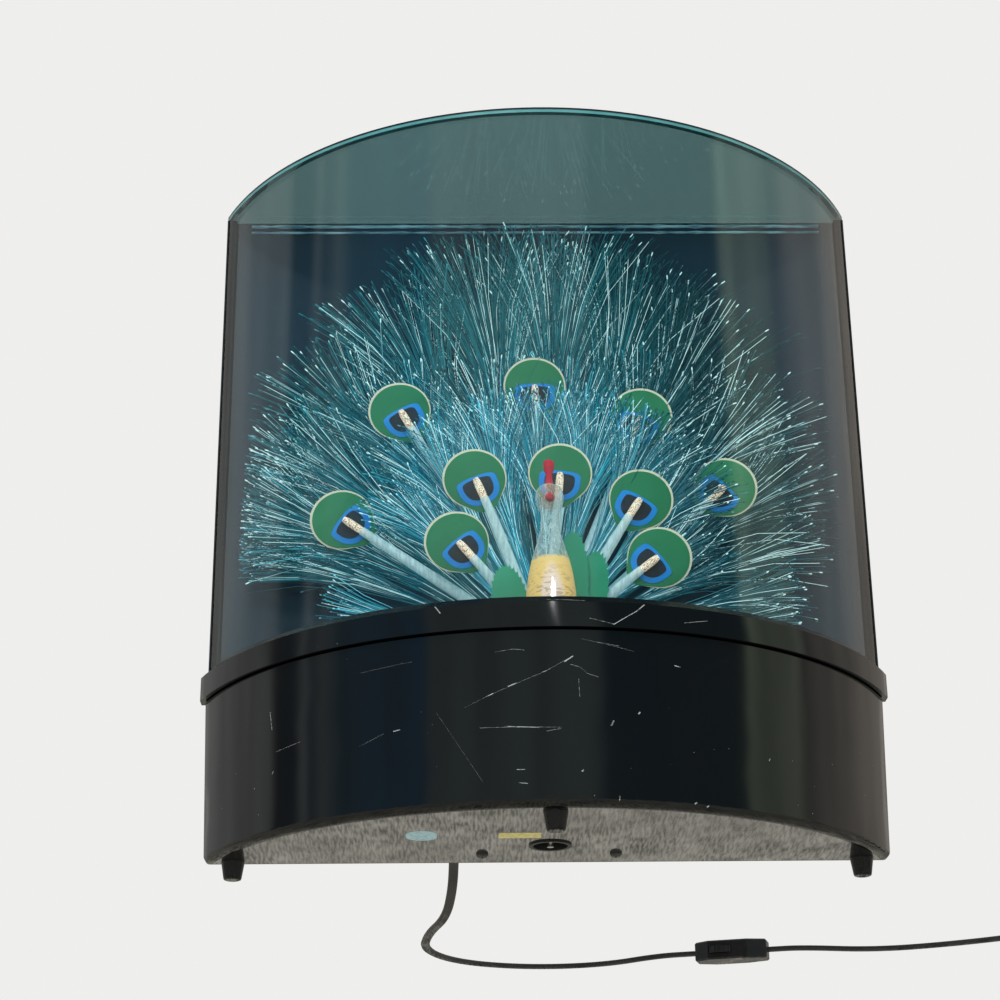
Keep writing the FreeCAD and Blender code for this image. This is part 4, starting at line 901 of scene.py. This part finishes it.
# The sleeves also give off a faint teal light: painted glow.
sleeve_clear.shader.inputs["Emission Color"].default_value = rgb(0.45, 0.75, 0.8)
sleeve_clear.shader.inputs["Emission Strength"].default_value = 0.16
sleeve_clear.feed("Alpha", sleeve_clear.noise(260.0, 3.0, (2, 1, 0.3)).step(0.3, 0.7) * 0.35 + 0.5)
speckled = Finish("speckled_ends", Roughness=0.4)
spots = speckled.specks(1500.0, 0.75)
speckled.feed("Base Color", spots.mix(rgb(0.42, 0.26, 0.16), rgb(0.95, 0.86, 0.7)))
# The cut ends give off their speckled colour as light: painted glow.
speckled.feed("Emission Color", spots.mix(rgb(0.3, 0.14, 0.06), rgb(1.0, 0.82, 0.6)))
speckled.shader.inputs["Emission Strength"].default_value = 0.42

SLEEVE_R = 2.5
ENDS_R = 2.15
ENDS_LENGTH = 10.5
SLEEVE_FLAT = 22.0
SLEEVE_START = 14.0


def stalk(name, line, radii, finish):
    """A smooth round bar that rides with the display."""
    piece = smooth(paint(round_bar(name, line, radii), finish), 50)
    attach(piece, "display")
    return piece


stalks = []
for number, (x, z, back_row) in enumerate(EYES, 1):
    row_y = BACK_ROW_Y if back_row else FRONT_ROW_Y
    lean = math.atan2(x - ROOT.x / MM, z - ROOT.z / MM)
    eye_piece(number, (x, z), lean, row_y)
    tip = Vector((x, row_y - 3.0, z)) * MM
    root = ROOT + Vector((0, -2, 0)) * MM
    out = Vector((tip.x - root.x, 0, tip.z - root.z)).normalized()
    knee = tip - out * SLEEVE_FLAT * MM
    start = root + (knee - root).normalized() * SLEEVE_START * MM
    shut = tip - out * ENDS_LENGTH * MM
    bend = [start, start.lerp(knee, 0.5), start.lerp(knee, 0.88), knee + out * 3 * MM, shut]
    sleeve = stalk(f"sleeve_{number:02d}", bend, [3.3, 3.0, 2.8, SLEEVE_R, SLEEVE_R * 0.94], sleeve_clear)
    cut_ends = [shut.lerp(tip + out * 1.5 * MM, k / 5) for k in range(-1, 6)]
    tied = [ENDS_R * share for share in (0.85, 0.9, 1.0, 1.0, 1.0, 0.95, 0.7)]
    stalk(f"bundle_end_{number:02d}", cut_ends, tied, speckled)
    stalks.append(sleeve)
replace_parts(stalks[0], "feather_stems")


# Bird: blown glass, clear at the head and neck and painted amber on the belly, with a red crest and beak.
# Its wings are thin green leaves with notched edges that stand on the deck beside it.

BIRD_X, BIRD_Y = 1.0, -25.0
FACE_Z = 184.0
BELLY_Z = 128.0


def spun(name, outline, finish, steps=40):
    """A turned shape: the outline of radius and height points is spun about the bird's axis."""
    bpy.ops.object.select_all(action="DESELECT")
    bpy.ops.mesh.primitive_plane_add(size=MM)
    piece = bpy.context.object
    piece.name = piece.data.name = name
    bpy.ops.object.mode_set(mode="EDIT")
    bpy.ops.mesh.select_all(action="SELECT")
    bpy.ops.mesh.merge(type="CENTER")
    bpy.ops.transform.translate(value=Vector((outline[0][0], 0, outline[0][1])) * MM)
    for (r0, z0), (r1, z1) in zip(outline, outline[1:]):
        onward = ((r1 - r0) * MM, 0, (z1 - z0) * MM)
        bpy.ops.mesh.extrude_region_move(TRANSFORM_OT_translate={"value": onward})
    bpy.ops.mesh.select_all(action="SELECT")
    bpy.ops.mesh.spin(steps=steps, angle=2 * math.pi, center=(0, 0, 0), axis=(0, 0, 1))
    bpy.ops.mesh.select_all(action="SELECT")
    bpy.ops.mesh.remove_doubles(threshold=0.00001)
    bpy.ops.mesh.normals_make_consistent(inside=False)
    bpy.ops.object.mode_set(mode="OBJECT")
    only(piece)
    piece.location = (BIRD_X * MM, BIRD_Y * MM, 0)
    bpy.ops.object.transform_apply(location=True, rotation=False, scale=False)
    paint(piece, finish)
    return smooth(piece, 60)


bird_glass = Finish("bird_glass", IOR=1.5)
glass_x, _, glass_z = bird_glass.xyz()
off_axis, high = glass_x / MM - BIRD_X, glass_z / MM
painted = (high + bird_glass.noise(260.0, 2.0) * 6.0).step(153.5, 150.0)
belly = high.step(150.0, 128.0)
marbled = bird_glass.noise(200.0, 2.0, (0.7, 1, 2.2), 1.4).step(0.56, 0.6) * belly
# Paler pink in the middle of the belly, seen front and back: a painted sheen on the amber.
middle = off_axis * off_axis / 40.0 + abs(high - BELLY_Z) / 16.0
amber_with_painted_sheen = middle.step(1.3, 0.5).mix(rgb(0.9, 0.6, 0.2), rgb(0.9, 0.68, 0.55))
shell_color = (marbled * 0.55).mix(amber_with_painted_sheen, rgb(0.36, 0.2, 0.12))
# The amber belly also gives off its colour as light: a painted glow.
bird_glass.feed("Emission Color", painted.mix(rgb(0.0, 0.0, 0.0), shell_color))
bird_glass.shader.inputs["Emission Strength"].default_value = 0.2
face = (off_axis * off_axis + (high - FACE_Z) * (high - FACE_Z)).step(38.0, 16.0)
glass_tone = face.mix(rgb(0.66, 0.82, 0.8), rgb(0.78, 0.5, 0.36))
bird_glass.feed("Base Color", painted.mix(glass_tone, shell_color))
bird_glass.feed("Roughness", painted * 0.4 + 0.07)
bird_glass.feed("Coat Weight", 0.6 - painted * 0.55)
edge_on = bird_glass.node("ShaderNodeLayerWeight", None, {"Blend": 0.5}, output=1)
swirl = bird_glass.noise(300.0, 2.0, (1, 1, 0.4), 2.0).step(0.5, 0.64)
clear_part = edge_on * edge_on * 0.6 + swirl * 0.32 + face * 0.15 + 0.16
bird_glass.feed("Alpha", clear_part.math("MAXIMUM", painted * 0.96))
spun("bird_body_glass", [
    (0, 107), (9, 107), (11.0, 109), (12.6, 114), (13.2, 122), (12.9, 131), (11.6, 141), (9.4, 151),
    (6.9, 159), (5.3, 166), (4.8, 172), (5.0, 175.5), (6.2, 178), (7.2, 180.5), (7.7, 183.5), (7.2, 187),
    (5.8, 189.6), (3.4, 191), (0, 191.4),
], bird_glass)
body_piece = bpy.context.object
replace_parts(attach(body_piece, "display"), "bird_body")

red_glass = Finish("red_glass", Roughness=0.1, IOR=1.5)
red_glass.feed("Base Color", red_glass.noise(180.0, 2.0).mix(rgb(0.5, 0.01, 0.03), rgb(0.72, 0.05, 0.08)))
spun("bird_crest_glass", [
    (0, 190.6), (2.5, 190.8), (1.8, 194), (1.75, 197.5), (2.9, 200.0), (3.0, 203.6), (2.5, 204.8), (0, 205),
], red_glass)
crest_piece = bpy.context.object
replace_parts(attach(crest_piece, "display"), "bird_crest")
skin("bird_beak", "bird_beak_glass", red_glass, degrees=60)

leaf_green = Finish("leaf_green", Roughness=0.35)
leaf_green.feed("Base Color", leaf_green.noise(50.0, 3.0).mix(rgb(0.02, 0.26, 0.14), rgb(0.05, 0.38, 0.22)))
DECK_TOP = 107.0


def notched_leaf(name, x, z, half_width, half_height, lean, y):
    """A leaf with fine saw teeth, standing on the deck."""
    count = 64
    outline = []
    for k in range(count):
        a = 2 * math.pi * k / count
        tooth = 1.03 if k % 2 else 0.94
        across, high = half_width * tooth * math.cos(a), half_height * tooth * math.sin(a)
        turned = math.radians(lean)
        px = across * math.cos(turned) + high * math.sin(turned)
        pz = high * math.cos(turned) - across * math.sin(turned)
        outline.append((x + px, max(z + pz, DECK_TOP)))
    leaf = plaque(name, outline, y - 0.8, 0.8, leaf_green, 0.1)
    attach(leaf, "display")
    return leaf


painted_white = Finish("painted_white", Roughness=0.3)
painted_white.feed("Base Color", painted_white.noise(300.0).mix(rgb(0.7, 0.72, 0.66), rgb(0.9, 0.92, 0.86)))
for side in (-1, 1):
    foot = Vector((BIRD_X + side * 15.6, BIRD_Y, DECK_TOP)) * MM
    heights = [foot + Vector((-side * 0.3 * k, 0, 2.6 * k)) * MM for k in range(6)]
    radii = [1.6, 1.7, 1.7, 1.5, 1.1, 0.4]
    horn = stalk("bird_foot_" + ("left" if side < 0 else "right"), heights, radii, painted_white)

wings = [
    notched_leaf("wing_left", -19.5, 129.0, 10.0, 24.0, -8, -8.0),
    notched_leaf("wing_right_inner", 12.0, 139.0, 9.5, 33.0, 4, -8.0),
    notched_leaf("wing_right_outer", 21.0, 133.0, 10.0, 29.0, 12, -5.5),
]
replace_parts(wings[0], "bird_wings")


# Switch, plug and bush on the lead: black mouldings, a plated screw, a knurled thumb wheel and two blades.

switch_black = Finish("switch_black", Roughness=0.3)
switch_black.feed("Base Color", switch_black.noise(260.0).mix(
    rgb(0.012, 0.012, 0.014), rgb(0.03, 0.03, 0.032)))
switch_black.bump(switch_black.noise(1400.0, 2.0), 0.00004)
on_the_lead = [
    skin("switch_base", "switch_shell_lower", switch_black),
    skin("switch_cover", "switch_shell_upper", switch_black),
    skin("switch_screw", "switch_slotted_screw", steel),
    skin("switch_wheel", "switch_thumb_wheel", cup_black),
    skin("plug_body", "plug_moulding", switch_black),
    skin("plug_blades", "plug_two_blades", brass),
    skin("strain_relief", "lead_bush", cup_black),
]
